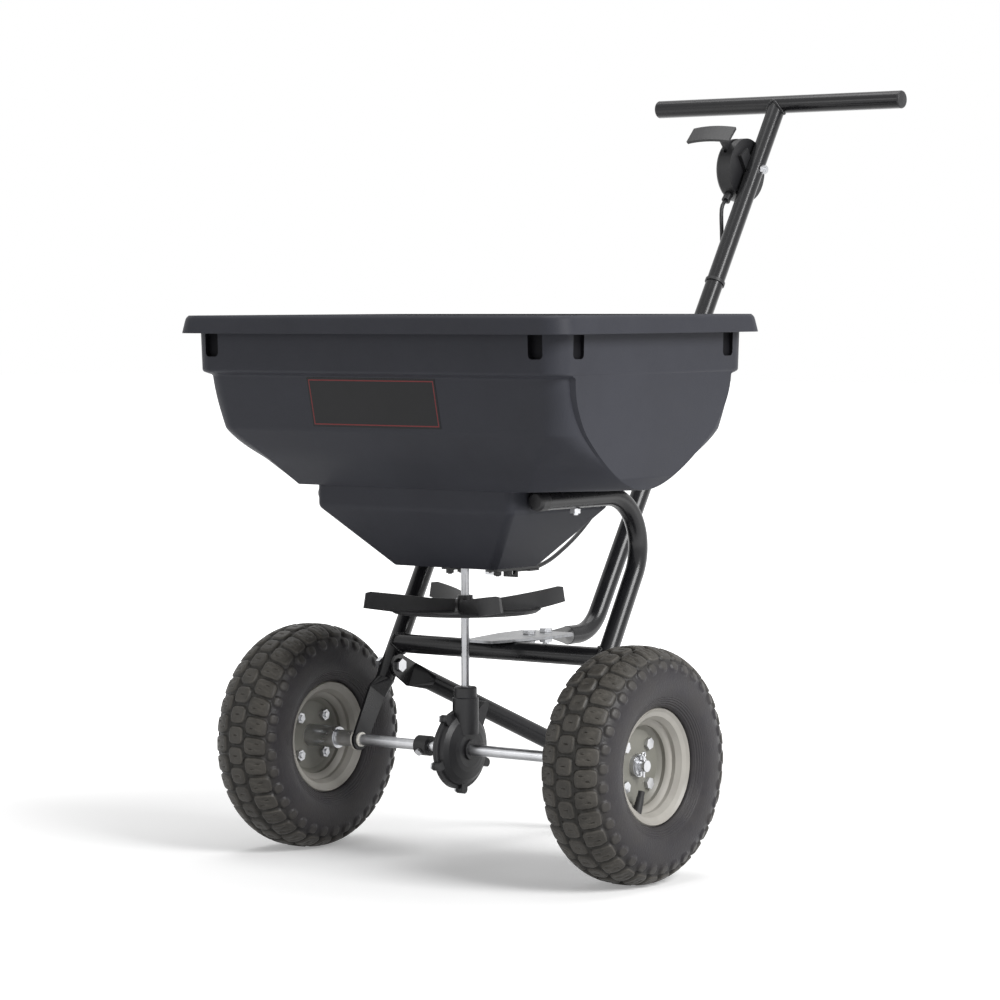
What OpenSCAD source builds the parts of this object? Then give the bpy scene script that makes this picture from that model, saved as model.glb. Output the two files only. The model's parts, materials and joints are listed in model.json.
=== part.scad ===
// Push-along broadcast spreader: moulded hopper on a bent-tube frame, two
// pneumatic wheels, an axle-driven gear case and impeller, and a T-handle with
// a lever that works the outlet gate through a cable.
// Axes: X across the axle, Y from front to handle, Z up, ground at Z = 0.

/* [Wheels] */
// Distance between the middles of the two tyres
wheel_track = 469; // [455:1:485]
// Outside diameter of a tyre over its tread blocks
tyre_d = 262.6; // [256:0.2:270]
// Width of a tyre at its sidewalls
tyre_w = 85; // [80:1:90]
// Rubber thickness of a tyre
tyre_wall = 6; // [4:0.5:8]
// Height of the tread blocks
tread_h = 5; // [3:0.5:6]
// Number of blocks in one row of the tread
tread_blocks = 22; // [18:1:26]
// Outside diameter of the rim flanges
rim_d = 127; // [122:1:132]
// Distance between the outer faces of the two rim flanges
rim_w = 61; // [57:1:65]
// Sheet thickness of the rim halves
rim_sheet = 2.5; // [2:0.1:3]
// Diameter of the circle that the rim bolts stand on
rim_bolt_circle = 62; // [56:1:68]
// Number of bolts that hold the rim halves together
rim_bolt_count = 4; // [3:1:6]
// Outside diameter of the wheel hub
hub_d = 25; // [23:0.5:28]
// Length of the hub on the inner side of the wheel
hub_inner_len = 46; // [42:1:48]
// Length of the hub on the outer side of the wheel
hub_outer_len = 8; // [7:1:12]

/* [Axle and gear case] */
// Diameter of the axle
axle_d = 12.7; // [11:0.1:14]
// How far the axle runs past each hub
axle_end = 10; // [9:0.5:14]
// Gear module
gear_module = 2.2; // [2:0.05:2.3]
// Teeth on the crown gear on the axle
gear_teeth = 30; // [28:1:31]
// Teeth on the pinion on the upright shaft
pinion_teeth = 9; // [8:1:10]
// Length of a gear tooth
gear_face = 9; // [7:0.5:10]
// Wall of the gear case
case_wall = 3; // [2.5:0.1:3.5]
// Width of the gear case's clamping flange
case_flange = 4; // [3.5:0.5:6]
// Height of the top of the gear case above the axle
case_tower = 71.7; // [66:0.1:78]
// Diameter of the gear case's axle bosses
case_boss_d = 23; // [21:0.5:25]
// Distance from the middle to the outer end of the axle collar
collar_out = 68; // [64:1:80]
// Length of the axle collar
collar_len = 17; // [12:1:18]

/* [Frame] */
// Diameter of the frame tubes
tube_d = 22.2; // [20:0.1:24]
// Wall of the frame tubes
tube_wall = 1.6; // [1.2:0.1:2]
// Distance from the middle to each side tube
side_x = 151; // [150.5:0.5:156]
// Height of the side tubes' level run under the hopper
run_z = 421; // [405:1:440]
// Lean of the side tubes' legs from upright
leg_lean = 30.5; // [28:0.1:33]
// Bend radius of the side tubes
side_bend = 60.3; // [54:0.1:66]
// How far the level run reaches in front of the axle
run_front = 52; // [45:1:58]
// Length of the plug in the front end of each side tube
plug_out = 16; // [8:1:18]
// How far outward the flattened leg lies from the tube's middle
blade_shift = 6; // [4:0.5:8]
// Height of the crossbar
crossbar_z = 239.5; // [234:0.5:246]
// Height of the bolts that hold the stand to the legs
stand_bolt_z = 215; // [208:1:216]
// Distance from the middle to each stand knee
knee_x = 50; // [44:1:60]
// How far the stand knees are behind the axle
knee_y = 236; // [215:1:250]
// Height of the stand knees
knee_z = 111; // [100:1:120]
// How far the stand's foot is behind the axle
foot_y = 300; // [285:1:330]
// Bend radius of the stand
stand_bend = 30; // [26:1:34]

/* [Handle] */
// Height of the grip bar
bar_z = 886.5; // [860:0.5:910]
// Length of the grip bar tube without its caps
bar_len = 362; // [330:1:400]
// Lean of the handle from upright
stem_lean = 32.2; // [31:0.1:33]
// How far behind the axle the straight handle would meet its level run
stem_foot_y = 241; // [236:1:256]
// Height of the handle's level run
stem_run_z = 246.5; // [245.5:0.1:248]
// Bend radius at the foot of the handle
stem_bend = 50; // [42:1:60]
// Height at which the upper handle ends on the lower one
stem_joint_z = 520; // [490:1:560]
// Length of the reduced end that the upper handle slides over
stem_lap = 60; // [50:1:70]
// Width of the plate that joins the handle to the crossbar
plate_w = 76; // [60:1:90]
// Length of the plate that joins the handle to the crossbar
plate_len = 140; // [136:1:144]
// Thickness of the plate
plate_t = 3; // [2:0.5:4]

/* [Hopper] */
// Half width of the hopper at its skirt
hopper_x = 275; // [265:1:290]
// How far the hopper's skirt reaches in front of the axle
hopper_front = 188; // [180:1:200]
// How far the hopper's skirt reaches behind the axle
hopper_back = 205; // [195:1:215]
// Height of the hopper's rim
rim_z = 624.2; // [610:0.2:640]
// Height of the skirt around the rim
skirt_h = 20; // [16:1:24]
// Height of the bottom of the collar
collar_z = 561; // [552:1:570]
// Height of the crease above the hopper's sloping walls
crease_z = 496; // [485:1:510]
// Wall of the hopper
hopper_wall = 4; // [3:0.2:4.6]
// Height of the outside of the hopper's floor
floor_z = 341; // [336:1:346]
// Height of the lower well's upright band
band_h = 24.5; // [20:0.5:30]
// Half width of the lower well
well_x = 139; // [134:1:139]
// Half width of the hopper's floor
floor_x = 73; // [68:1:80]
// Width of the outlet in the floor
outlet_w = 40; // [32:1:46]
// Length of the outlet in the floor
outlet_len = 26; // [20:1:28]
// Width of the pockets in the collar
pocket_w = 19; // [14:1:24]

/* [Spinner] */
// Diameter of the upright shaft
shaft_d = 9.5; // [9:0.1:10]
// Height of the impeller disc
disc_z = 289; // [284:1:294]
// Radius of the impeller disc
disc_r = 86; // [80:1:92]
// Radius of the impeller's fin tips
fin_r = 121; // [112:1:124]
// Height of the impeller's fins
fin_h = 18; // [14:1:22]
// Number of fins on the impeller
fin_count = 4; // [3:1:6]
// Half span of the agitator wire
agitator_r = 44; // [36:1:48]

/* [Flow control] */
// How far the lever's pivot is below the grip bar
dial_drop = 83.5; // [78:0.5:100]
// Radius of the control housing
dial_r = 39.5; // [36:0.5:41]
// Travel of the lever in degrees
lever_travel = 50; // [40:1:55]
// Length of the lever's thumb tab
tab_len = 62; // [52:1:66]
// Width of the lever's thumb tab
tab_w = 24; // [18:1:26]
// Travel of the outlet gate
gate_travel = 28; // [22:1:30]
// Thickness of the outlet gate
gate_t = 2.5; // [2:0.1:3]
// Diameter of the control cable
cable_d = 5; // [4:0.1:6]

/* [Hidden] */
$fn = 48;
run_gap = 0.05;          // radial clearance of a shaft in its bearing
seat_gap = 0.3;          // clearance between pieces that seat on each other
cut = 1;                 // overrun of a cutting tool
tyre_r = tyre_d / 2;
axle_z = tyre_r;
axle_r = axle_d / 2;
wheel_x = wheel_track / 2;
tube_r = tube_d / 2;
bore_r = tube_r - tube_wall;
shaft_r = shaft_d / 2;

bar_y = stem_foot_y + (bar_z - stem_run_z) * tan(stem_lean);
origin_y = (bar_y + tube_r - hopper_front) / 2;

// Gears: the two pitch cones share their apex at the middle of the axle.
gear_r = gear_module * gear_teeth / 2;
pinion_r = gear_module * pinion_teeth / 2;
cone_len = norm([gear_r, pinion_r]);
backlash = 0.3;
gear_back = 15;          // distance of the gear's back face from the apex
gear_hub_back = 23;
case_in_r = gear_r + 4.5;
case_r = case_in_r + case_wall + 1;
flange_r = case_r + case_flange;
split_x = -8;
flange_t = 3;
case_back = gear_hub_back + 1 + case_wall;
tower_in_r = pinion_r + 2.4;
tower_r = tower_in_r + case_wall - 0.3;
tower_low = 18;
tower_cap_h = 13;
case_front = 7;
case_boss_end = 9.5;
lug_r = 5;
lug_proud = 0.2;
lug_depth = 6;
lug_floor = 1.5;
screw_r = 2;
// Screw lugs of the gear case: [angle, distance from the axle].
lugs = [[49, flange_r + 15.5], [128, flange_r + 0.5], [200, flange_r + 0.5],
    [270, flange_r + 0.5], [335, flange_r + 0.5]];

// Side tubes
bush_flange = 2;
bush_wall = 2.2;
function leg_y(z) = (z - axle_z) * tan(leg_lean);
side_corner_y = leg_y(run_z);
blade_x = side_x + blade_shift;
blade_t = 2 * tube_wall;
blade_w = tube_d * 1.5;
leg_blade_w = 30;
blade_end_r = axle_r + bush_wall + 4;
crossbar_y = leg_y(crossbar_z) - 2;
stand_end_r = 13;
blade_top = stand_bolt_z - stand_end_r - 4;

// Handle
function stem_y(z) = bar_y - (bar_z - z) * tan(stem_lean);
plate_front = crossbar_y - 38;
plate_z = crossbar_z + tube_r + 0.02;
plate_nose = 20;
stem_blade_z = plate_z - seat_gap - blade_t;
stem_blade_end = crossbar_y + tube_r + 2;
stem_blade_start = plate_front + plate_len + 4;
plate_bolt_ys = [plate_front + plate_len - 44, plate_front + plate_len - 12];
stem_dir = [0, -sin(stem_lean), -cos(stem_lean)];
stem_back = [0, cos(stem_lean), -sin(stem_lean)];

// Hopper levels: [z, half width, middle y, half depth, corner x, corner y,
// corner roundness, panel step]
collar_inset = 16.5;
ledge_z = run_z + tube_r + seat_gap;
band_z = ledge_z - band_h;
bolt_y = 6;
panel_step = 2.5;

// Gate and rails under the floor
shaft_bush_r = shaft_r + 4;
outlet_y = shaft_bush_r + 7 + outlet_len / 2;
rail_t = 2;
gate_z = floor_z - rail_t - seat_gap - gate_t;
gate_w = outlet_w + 16;
rail_x = gate_w / 2 + seat_gap;
rail_w = 12;
rail_back = outlet_y + outlet_len / 2 + gate_travel + 14;
rail_front = outlet_y - outlet_len / 2 - 8;
gate_front = outlet_y - outlet_len / 2 - 4;
gate_back = outlet_y + outlet_len / 2 + 5;

// Flow control
dial_z = bar_z - dial_drop;
dial_y = stem_y(dial_z);
dial_x = tube_r + seat_gap;
dial_half_t = 9;
lever_gap = 5.4;
lever_t = 4.6;
lever_x = dial_x + dial_half_t + lever_gap / 2;
pivot_r = 3;

// ---------- helpers ----------

module placed() {
    translate([0, -origin_y, 0]) children();
}

function unit(v) = v / norm(v);

// Places a child so that its Z axis runs along dir from point p.
module along(p, dir, hint = [0, 0, 1]) {
    w = unit(dir);
    side = norm(cross(hint, w)) > 0.01 ? hint : [1, 0, 0];
    u = unit(cross(side, w));
    v = cross(w, u);
    multmatrix([[u.x, v.x, w.x, p.x], [u.y, v.y, w.y, p.y],
        [u.z, v.z, w.z, p.z], [0, 0, 0, 1]]) children();
}

// Solid rod from a to b.
module rod(a, b, r) {
    along(a, b - a) cylinder(r = r, h = norm(b - a));
}

module x_rod(x1, x2, r) {
    translate([x1, 0, 0]) rotate([0, 90, 0]) cylinder(r = r, h = x2 - x1);
}

// Ring with its axis along X.
module x_ring(x1, x2, r_out, r_in) {
    difference() {
        x_rod(x1, x2, r_out);
        x_rod(x1 - cut, x2 + cut, r_in);
    }
}

// Revolves a profile of [x, r] points about the X axis.
module x_revolve(points) {
    rotate([90, 0, 90]) rotate_extrude($fn = 96)
        polygon([for (p = points) [p.y, p.x]]);
}

function turn(a, b, c) = acos(min(1, max(-1, unit(b - a) * unit(c - b))));
function trim_len(pts, i, r) =
    i == 0 || i == len(pts) - 1 ? 0 : r * tan(turn(pts[i - 1], pts[i], pts[i + 1]) / 2);

// Thin disc that joins the end faces of a rod and a bend.
module bead(r) {
    translate([0, 0, -0.05]) cylinder(r = r + 0.02, h = 0.1);
}

// Solid rod along a route of points, with round bends of radius bend.
module bent_rod(pts, bend, r, extra = 0) {
    last = len(pts) - 1;
    for (i = [0 : last - 1]) {
        d = unit(pts[i + 1] - pts[i]);
        a = pts[i] + d * (i == 0 ? -extra : trim_len(pts, i, bend));
        b = pts[i + 1] - d * (i == last - 1 ? -extra : trim_len(pts, i + 1, bend));
        rod(a, b, r);
        if (i > 0) along(a, d) bead(r);
        if (i < last - 1) along(b, d) bead(r);
    }
    if (last > 1) for (i = [1 : last - 1]) {
        u = unit(pts[i] - pts[i - 1]);
        w = unit(pts[i + 1] - pts[i]);
        angle = turn(pts[i - 1], pts[i], pts[i + 1]);
        n = unit(w - u * cos(angle));
        c = pts[i] - u * trim_len(pts, i, bend) + n * bend;
        z = cross(-n, u);
        multmatrix([[-n.x, u.x, z.x, c.x], [-n.y, u.y, z.y, c.y],
            [-n.z, u.z, z.z, c.z], [0, 0, 0, 1]])
            rotate_extrude(angle = angle) translate([bend, 0]) circle(r);
    }
}

// Hexagon head or nut with a washer face, standing on Z = 0.
module hex_head(af, h) {
    cylinder(r = af / 2 / cos(30), h = h, $fn = 6);
}

// Bolt along +Z: head under Z = 0, nut that ends at grip.
module bolt(r, grip, head_h = 4, nut_h = 5, tail = 2) {
    translate([0, 0, -head_h]) hex_head(r * 3.4, head_h);
    cylinder(r = r, h = grip + nut_h + tail);
    translate([0, 0, grip]) hex_head(r * 3.4, nut_h);
}

module mirror_x() {
    children();
    mirror([1, 0, 0]) children();
}

// ---------- hopper ----------

// One ring of points around the hopper at a level.
corner_steps = 5;
function corner_point(s, q) = [pow(cos(s), 2 / q), pow(sin(s), 2 / q)];
function quarter(l) = [for (k = [0 : corner_steps])
    let (c = corner_point(90 * k / corner_steps, l[6]))
    [l[1] - l[7] - l[4] + l[4] * c.x, l[3] - l[5] + l[5] * c.y]];
function reversed(list) = [for (i = [len(list) - 1 : -1 : 0]) list[i]];
function level_ring(l) = let (q = quarter(l), side = l[3] - l[5],
    e = [l[1], side * 0.5 > panel_step ? side - panel_step : side * 0.5])
    [for (p = concat([e], q)) [p.x, l[2] + p.y, l[0]],
     for (p = concat(reversed(q), [e])) [-p.x, l[2] + p.y, l[0]],
     for (p = concat([e], q)) [-p.x, l[2] - p.y, l[0]],
     for (p = concat(reversed(q), [e])) [p.x, l[2] - p.y, l[0]]];

// Strips of four points that close a level across the hopper.
function cap(n) = let (h = n / 2) concat(
    [for (i = [0 : h / 2 - 2]) [i, i + 1, h - 2 - i, h - 1 - i]],
    [[n - 1, 0, h - 1, h]],
    [for (i = [0 : h / 2 - 2]) [h + i, h + i + 1, n - 2 - i, n - 1 - i]]);

module level_solid(levels) {
    rings = [for (l = levels) level_ring(l)];
    n = len(rings[0]);
    m = len(rings);
    polyhedron(
        points = [for (r = rings) each r],
        faces = [
            each cap(n),
            for (j = [0 : m - 2], i = [0 : n - 1])
                let (k = (i + 1) % n, a = j * n + i, b = a + n, c = b + k - i, d = a + k - i)
                    each (floor(4 * i / n) % 2 == 0 ? [[a, b, c], [a, c, d]] : [[a, b, d], [b, c, d]]),
            for (f = cap(n)) [for (i = [3 : -1 : 0]) (m - 1) * n + f[i]]],
        convexity = 8);
}

function mix(a, b, t) = a + (b - a) * t;
mid_y = (hopper_back - hopper_front) / 2;
skirt_depth = (hopper_back + hopper_front) / 2;
body_x = hopper_x - collar_inset - 5.5;
body_depth = skirt_depth - collar_inset - 10;
crease_x = body_x - 3;
crease_depth = body_depth - 13.5;
ledge_x = crease_x - 10;
ledge_depth = crease_depth - 44.5;
ledge_flat = well_x + 24;
crease_panel = crease_depth - 34.5;
well_depth = ledge_depth - 19.5;
well_y = -4;
floor_depth = 44.5;
floor_y = 1.5;

// The wall between crease and ledge: t runs from 0 at the crease to 1.
function slope_level(t, wall = 0) =
    let (panel = crease_panel * pow(1 - t, 0.55), depth = mix(crease_depth, ledge_depth, t))
    [mix(crease_z, ledge_z, t) + wall * t, mix(crease_x, ledge_x, t) - wall,
     mix(mid_y + 2, mid_y + 5.5, t), depth - wall,
     mix(28, ledge_x - ledge_flat, t), min(depth - wall - 2, max(6, depth - panel - wall * 0.4)),
     2 - 0.85 * t, panel_step * (1 - t)];
slope_steps = [0, 0.2, 0.4, 0.6, 0.75, 0.88, 0.96, 1];

function inner_levels() = concat(
    [[floor_z + hopper_wall, floor_x - hopper_wall, floor_y, floor_depth - hopper_wall, 9, 9, 2, 0],
     [band_z + 2, well_x - hopper_wall, well_y, well_depth - hopper_wall, 7, 7, 2, 0],
     [ledge_z + hopper_wall, well_x - hopper_wall, well_y, well_depth - hopper_wall, 7, 7, 2, 0]],
    [for (i = [len(slope_steps) - 1 : -1 : 0]) slope_level(slope_steps[i], hopper_wall)],
    [[collar_z, body_x - hopper_wall, mid_y + 2, body_depth - hopper_wall, 26, 20, 2, panel_step],
     [rim_z, body_x - 2, mid_y + 2, body_depth - 2, 26, 20, 2, 0]]);

function outer_levels() = concat(
    [[floor_z, floor_x - 2, floor_y, floor_depth - 2, 11, 11, 2, 0],
     [floor_z + 2, floor_x, floor_y, floor_depth, 11, 11, 2, 0],
     [band_z, well_x, well_y, well_depth, 9, 9, 2, 0],
     [ledge_z, well_x, well_y, well_depth, 9, 9, 2, 0]],
    [for (i = [len(slope_steps) - 1 : -1 : 0]) slope_level(slope_steps[i])],
    [[collar_z - 4, body_x, mid_y + 2, body_depth, 26, 21, 2, panel_step],
     [collar_z, hopper_x - 18, mid_y, skirt_depth - 18, 24, 24, 2, 0],
     [rim_z - 5, hopper_x - collar_inset, mid_y, skirt_depth - collar_inset, 24, 24, 2, 0],
     [rim_z - 5, hopper_x - 6, mid_y, skirt_depth - 6, 27, 27, 2, 0],
     [rim_z - skirt_h, hopper_x - 3, mid_y, skirt_depth - 3, 28, 28, 2, 0],
     [rim_z - skirt_h, hopper_x, mid_y, skirt_depth, 30, 30, 2, 0],
     [rim_z - 3, hopper_x - 3.6, mid_y, skirt_depth - 3.6, 28, 28, 2, 0],
     [rim_z, hopper_x - 6.4, mid_y, skirt_depth - 6.4, 27, 27, 2, 0]]);

// Pocket cutter: a slot with a round bottom, open upward, cut from outside.
module pocket(depth) {
    h = 26;
    w = pocket_w / 2;
    rotate([90, 0, 0]) linear_extrude(depth * 2, center = true)
        polygon([[-w, 0], [-w, 5 - h], [-w + 1.5, 1.5 - h], [-w + 5, -h], [w - 5, -h], [w - 1.5, 1.5 - h],
            [w, 5 - h], [w, 0]]);
}

module hopper() color("dimgray") difference() {
    level_solid(outer_levels());
    level_solid(concat(inner_levels(), [[rim_z + cut, body_x - 2, mid_y + 2, body_depth - 2, 26, 20, 2, 0]]));
    pocket_z = rim_z - skirt_h - 0.5;
    for (sx = [-1, 1], sy = [-1, 1]) {
        translate([sx * (hopper_x - 46), mid_y + sy * (skirt_depth - collar_inset), pocket_z]) pocket(4.5);
        translate([sx * (hopper_x - collar_inset), mid_y + sy * (skirt_depth - 56), pocket_z])
            rotate(90) pocket(4.5);
    }
    translate([0, 0, floor_z - cut]) cylinder(r = shaft_bush_r + run_gap, h = hopper_wall + 2 * cut);
    translate([-outlet_w / 2, outlet_y - outlet_len / 2, floor_z - cut])
        cube([outlet_w, outlet_len, hopper_wall + 2 * cut]);
    for (sx = [-1, 1]) translate([sx * side_x, bolt_y, ledge_z - cut])
        cylinder(r = 3.5, h = hopper_wall + 2 * cut);
    for (sx = [-1, 1], y = [rail_front + 8, floor_depth - 8])
        translate([sx * (rail_x + rail_w / 2), y, floor_z - cut]) cylinder(r = 2.7, h = hopper_wall + 2 * cut);
}

// ---------- frame ----------

module side_tube() {
    front = [side_x, -run_front, run_z];
    corner = [side_x, side_corner_y, run_z];
    top = [side_x, leg_y(blade_top), blade_top];
    dir = [0, -sin(leg_lean), -cos(leg_lean)];
    squeeze = 16;
    difference() {
        union() {
            bent_rod([front, corner, top], side_bend, tube_r);
            along(top, dir, [1, 0, 0]) hull() {
                translate([0, 0, -0.2]) cylinder(r = tube_r - 0.3, h = 0.1, $fn = 32);
                translate([-leg_blade_w / 2, blade_shift - blade_t / 2, squeeze - 0.1])
                    cube([leg_blade_w, blade_t, 0.1]);
            }
            hull() {
                along(top + dir * squeeze, dir, [1, 0, 0])
                    translate([-leg_blade_w / 2 + 0.05, blade_shift - blade_t / 2 + 0.02, -0.6])
                    cube([leg_blade_w - 0.1, blade_t - 0.04, 0.1]);
                translate([blade_x - blade_t / 2 + 0.02, 0, axle_z]) x_rod(0, blade_t - 0.04, blade_end_r);
            }
        }
        bent_rod([front, corner, top], side_bend, bore_r, cut);
        translate([0, 0, axle_z]) x_rod(blade_x - 9, blade_x + 9, axle_r + bush_wall + run_gap);
        translate([0, leg_y(stand_bolt_z), stand_bolt_z]) x_rod(side_x - 20, side_x + 20, 4.2);
        translate([side_x, bolt_y, run_z - tube_r - cut]) cylinder(r = 3.5, h = tube_d + 2 * cut);
    }
}

module side_tube_right() color("#1c1c1e") side_tube();

module side_tube_left() color("#1c1c1e") mirror([1, 0, 0]) side_tube();

module tube_plugs() color("#222222") mirror_x() translate([side_x, -run_front, run_z]) rotate([90, 0, 0]) {
    translate([0, 0, -14]) cylinder(r = bore_r - run_gap, h = 14.01);
    rotate_extrude() polygon([[0, 0], [tube_r, 0], [tube_r, plug_out - 4],
        [tube_r - 1, plug_out - 1.4], [tube_r - 3, plug_out], [0, plug_out]]);
}

module crossbar() color("#1c1c1e") difference() {
    translate([0, crossbar_y, crossbar_z]) x_rod(-side_x, side_x, tube_r);
    translate([0, crossbar_y, crossbar_z]) x_rod(-side_x - cut, side_x + cut, bore_r);
    mirror_x() rod([side_x, leg_y(run_z), run_z], [side_x, leg_y(axle_z), axle_z], tube_r + 0.02);
}

// Stand: flattened ends bolted to the insides of the legs.
stand_in = side_x - tube_r - seat_gap - tube_wall;
stand_start = [stand_in, leg_y(stand_bolt_z), stand_bolt_z];
stand_knee = [knee_x, knee_y, knee_z];
foot_z = tube_r + 0.03;
stand_foot = [knee_x, foot_y, foot_z];
stand_flat = 46;

module stand_half_rod(r, extra) {
    d = unit(stand_knee - stand_start);
    bent_rod([stand_start + d * stand_flat, stand_knee, stand_foot, [-0.01, foot_y, foot_z]],
        stand_bend, r, extra);
}

module stand_end() {
    d = unit(stand_knee - stand_start);
    dyz = unit([0, d.y, d.z]);
    lean = -atan2(-dyz.z, dyz.y);
    flat = 26;
    wide = 2 * stand_end_r + 4;
    hull() {
        translate(stand_start + dyz * flat) rotate([lean, 0, 0])
            translate([-tube_wall, -0.1, -wide / 2]) cube([2 * tube_wall, 0.1, wide]);
        along(stand_start + d * stand_flat, d) translate([0, 0, 0.1])
            cylinder(r = tube_r - 0.3, h = 0.1, $fn = 32);
    }
    hull() {
        translate(stand_start + dyz * flat) rotate([lean, 0, 0])
            translate([-tube_wall + 0.02, 0.5, -wide / 2 + 0.05])
            cube([2 * tube_wall - 0.04, 0.1, wide - 0.1]);
        translate([stand_in - tube_wall + 0.02, stand_start.y, stand_start.z])
            x_rod(0, 2 * tube_wall - 0.04, stand_end_r);
    }
}

module stand() color("#1c1c1e") difference() {
    mirror_x() {
        stand_half_rod(tube_r, 0);
        stand_end();
    }
    mirror_x() stand_half_rod(bore_r, 0);
    mirror_x() translate([0, stand_start.y, stand_start.z]) x_rod(stand_in - 9, stand_in + 9, 4.2);
    translate([0, foot_y, tube_r]) cylinder(r = 3, h = tube_d);
}

module stand_bolts() color("silver") mirror_x()
    translate([stand_in - tube_wall - seat_gap, stand_start.y, stand_start.z]) rotate([0, 90, 0])
    bolt(4, 2 * tube_wall + tube_d + 3 * seat_gap);

module hopper_bolts() color("silver") mirror_x()
    translate([side_x, bolt_y, ledge_z + hopper_wall + seat_gap]) rotate([180, 0, 0])
    bolt(3.2, hopper_wall + seat_gap + tube_d + 2 * seat_gap);

module axle_bushings() color("white") mirror_x() translate([0, 0, axle_z]) {
    x_ring(blade_x - blade_t / 2 - 2, blade_x + blade_t / 2 + seat_gap, axle_r + bush_wall, axle_r + run_gap);
    x_ring(blade_x + blade_t / 2 + seat_gap - 0.01, blade_x + blade_t / 2 + seat_gap + bush_flange,
        axle_r + bush_wall + 4, axle_r + run_gap);
}

// ---------- handle ----------

stem_top = [0, bar_y, bar_z];
stem_joint = [0, stem_y(stem_joint_z), stem_joint_z];
stem_corner = [0, stem_foot_y, stem_run_z];
stem_squeeze = 26;

module handle_lower() color("#1c1c1e") {
    level_end = [0, stem_blade_start + stem_squeeze, stem_run_z];
    difference() {
        union() {
            bent_rod([stem_joint, stem_corner, level_end], stem_bend, tube_r);
            rod(stem_joint - stem_dir * stem_lap, stem_joint + stem_dir, bore_r - run_gap);
            hull() {
                translate(level_end + [0, 0.2, 0]) rotate([90, 0, 0])
                    cylinder(r = tube_r - 0.3, h = 0.1, $fn = 32);
                translate([-blade_w / 2, stem_blade_start - 0.1, stem_blade_z]) cube([blade_w, 0.1, blade_t]);
            }
            translate([0, stem_blade_end + blade_w / 2, stem_blade_z + 0.02]) linear_extrude(blade_t - 0.04) {
                circle(blade_w / 2 - 0.05);
                translate([-blade_w / 2 + 0.05, 0])
                    square([blade_w - 0.1, stem_blade_start - stem_blade_end - blade_w / 2 + 0.6]);
            }
        }
        rod(stem_joint - stem_dir * (stem_lap + cut), stem_joint + stem_dir * 30,
            bore_r - tube_wall - run_gap);
        bent_rod([stem_joint + stem_dir * 20, stem_corner, level_end], stem_bend, bore_r, 0);
        for (y = plate_bolt_ys) translate([0, y, stem_blade_z - cut]) cylinder(r = 4.2, h = 30);
        joint_holes();
    }
}

module joint_holes() {
    for (s = [18, 44]) translate(stem_joint - stem_dir * s) rotate([0, 90, 0])
        cylinder(r = 3.3, h = 60, center = true);
}

module handle_upper() color("#1c1c1e") difference() {
    rod(stem_joint - stem_dir * seat_gap, stem_top, tube_r);
    rod(stem_joint + stem_dir * cut, stem_top, bore_r);
    translate([0, bar_y, bar_z]) x_rod(-40, 40, tube_r + 0.02);
    joint_holes();
    translate([0, dial_y, dial_z]) x_rod(-40, 40, pivot_r + 0.2);
}

module handle_joint_bolts() color("silver") for (s = [18, 44])
    translate(stem_joint - stem_dir * s + [-tube_r - seat_gap, 0, 0]) rotate([0, 90, 0])
    bolt(3, tube_d + 2 * seat_gap);

module handle_bar() color("#1c1c1e") translate([0, bar_y, bar_z])
    x_ring(-bar_len / 2, bar_len / 2, tube_r, bore_r);

module handle_bar_caps() color("#151515") mirror_x()
    translate([bar_len / 2, bar_y, bar_z]) rotate([0, 90, 0]) {
    translate([0, 0, -12]) cylinder(r = bore_r - run_gap, h = 12.01);
    rotate_extrude()
        polygon([[0, 0], [tube_r, 0], [tube_r, 1], [tube_r - 0.6, 2.2], [tube_r - 2, 3], [0, 3.6]]);
}

module handle_plate() color("gainsboro") difference() {
    translate([0, plate_front, plate_z]) linear_extrude(plate_t) polygon([
        [-plate_nose, 0], [plate_nose, 0], [plate_w / 2, plate_len * 0.62], [plate_w / 2, plate_len - 9],
        [plate_w / 2 - 9, plate_len], [9 - plate_w / 2, plate_len], [-plate_w / 2, plate_len - 9],
        [-plate_w / 2, plate_len * 0.62]]);
    for (y = plate_bolt_ys) translate([0, y, plate_z - cut]) cylinder(r = 4.2, h = plate_t + 2 * cut);
}

module handle_plate_bolts() color("silver") for (y = plate_bolt_ys)
    translate([0, y, plate_z + plate_t + seat_gap]) rotate([180, 0, 0])
    bolt(4, plate_t + blade_t + 3 * seat_gap);

// ---------- gear case ----------

// Screw lugs; one stands off the flange on an ear.
module case_lugs(x1, x2) {
    for (l = lugs) rotate([l[0], 0, 0]) hull() {
        translate([0, l[1], 0]) x_rod(x1, x2, lug_r);
        translate([0, min(l[1], flange_r - 4), 0]) x_rod(x1, x2, l[1] > flange_r + lug_r ? 2 * lug_r : lug_r);
    }
}

module lug_holes(x1, x2, r) {
    for (l = lugs) rotate([l[0], 0, 0]) translate([0, l[1], 0]) x_rod(x1, x2, r);
}

// Tower that holds the pinion; the halves share its lower part at the split.
module case_tower_solid() {
    shoulder = case_tower - tower_cap_h;
    rotate_extrude($fn = 72) polygon([[0, tower_low], [tower_r, tower_low], [tower_r, shoulder],
        [tower_r - 2, shoulder + 1], [tower_r - 2, case_tower - 1.5], [tower_r - 3.5, case_tower],
        [0, case_tower]]);
}

tower_split_z = gear_r + 17.5;
module tower_room() {
    translate([0, 0, tower_low + 4.5]) cylinder(r = tower_in_r, h = gear_r + 14 - tower_low - 4.5);
}

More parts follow.
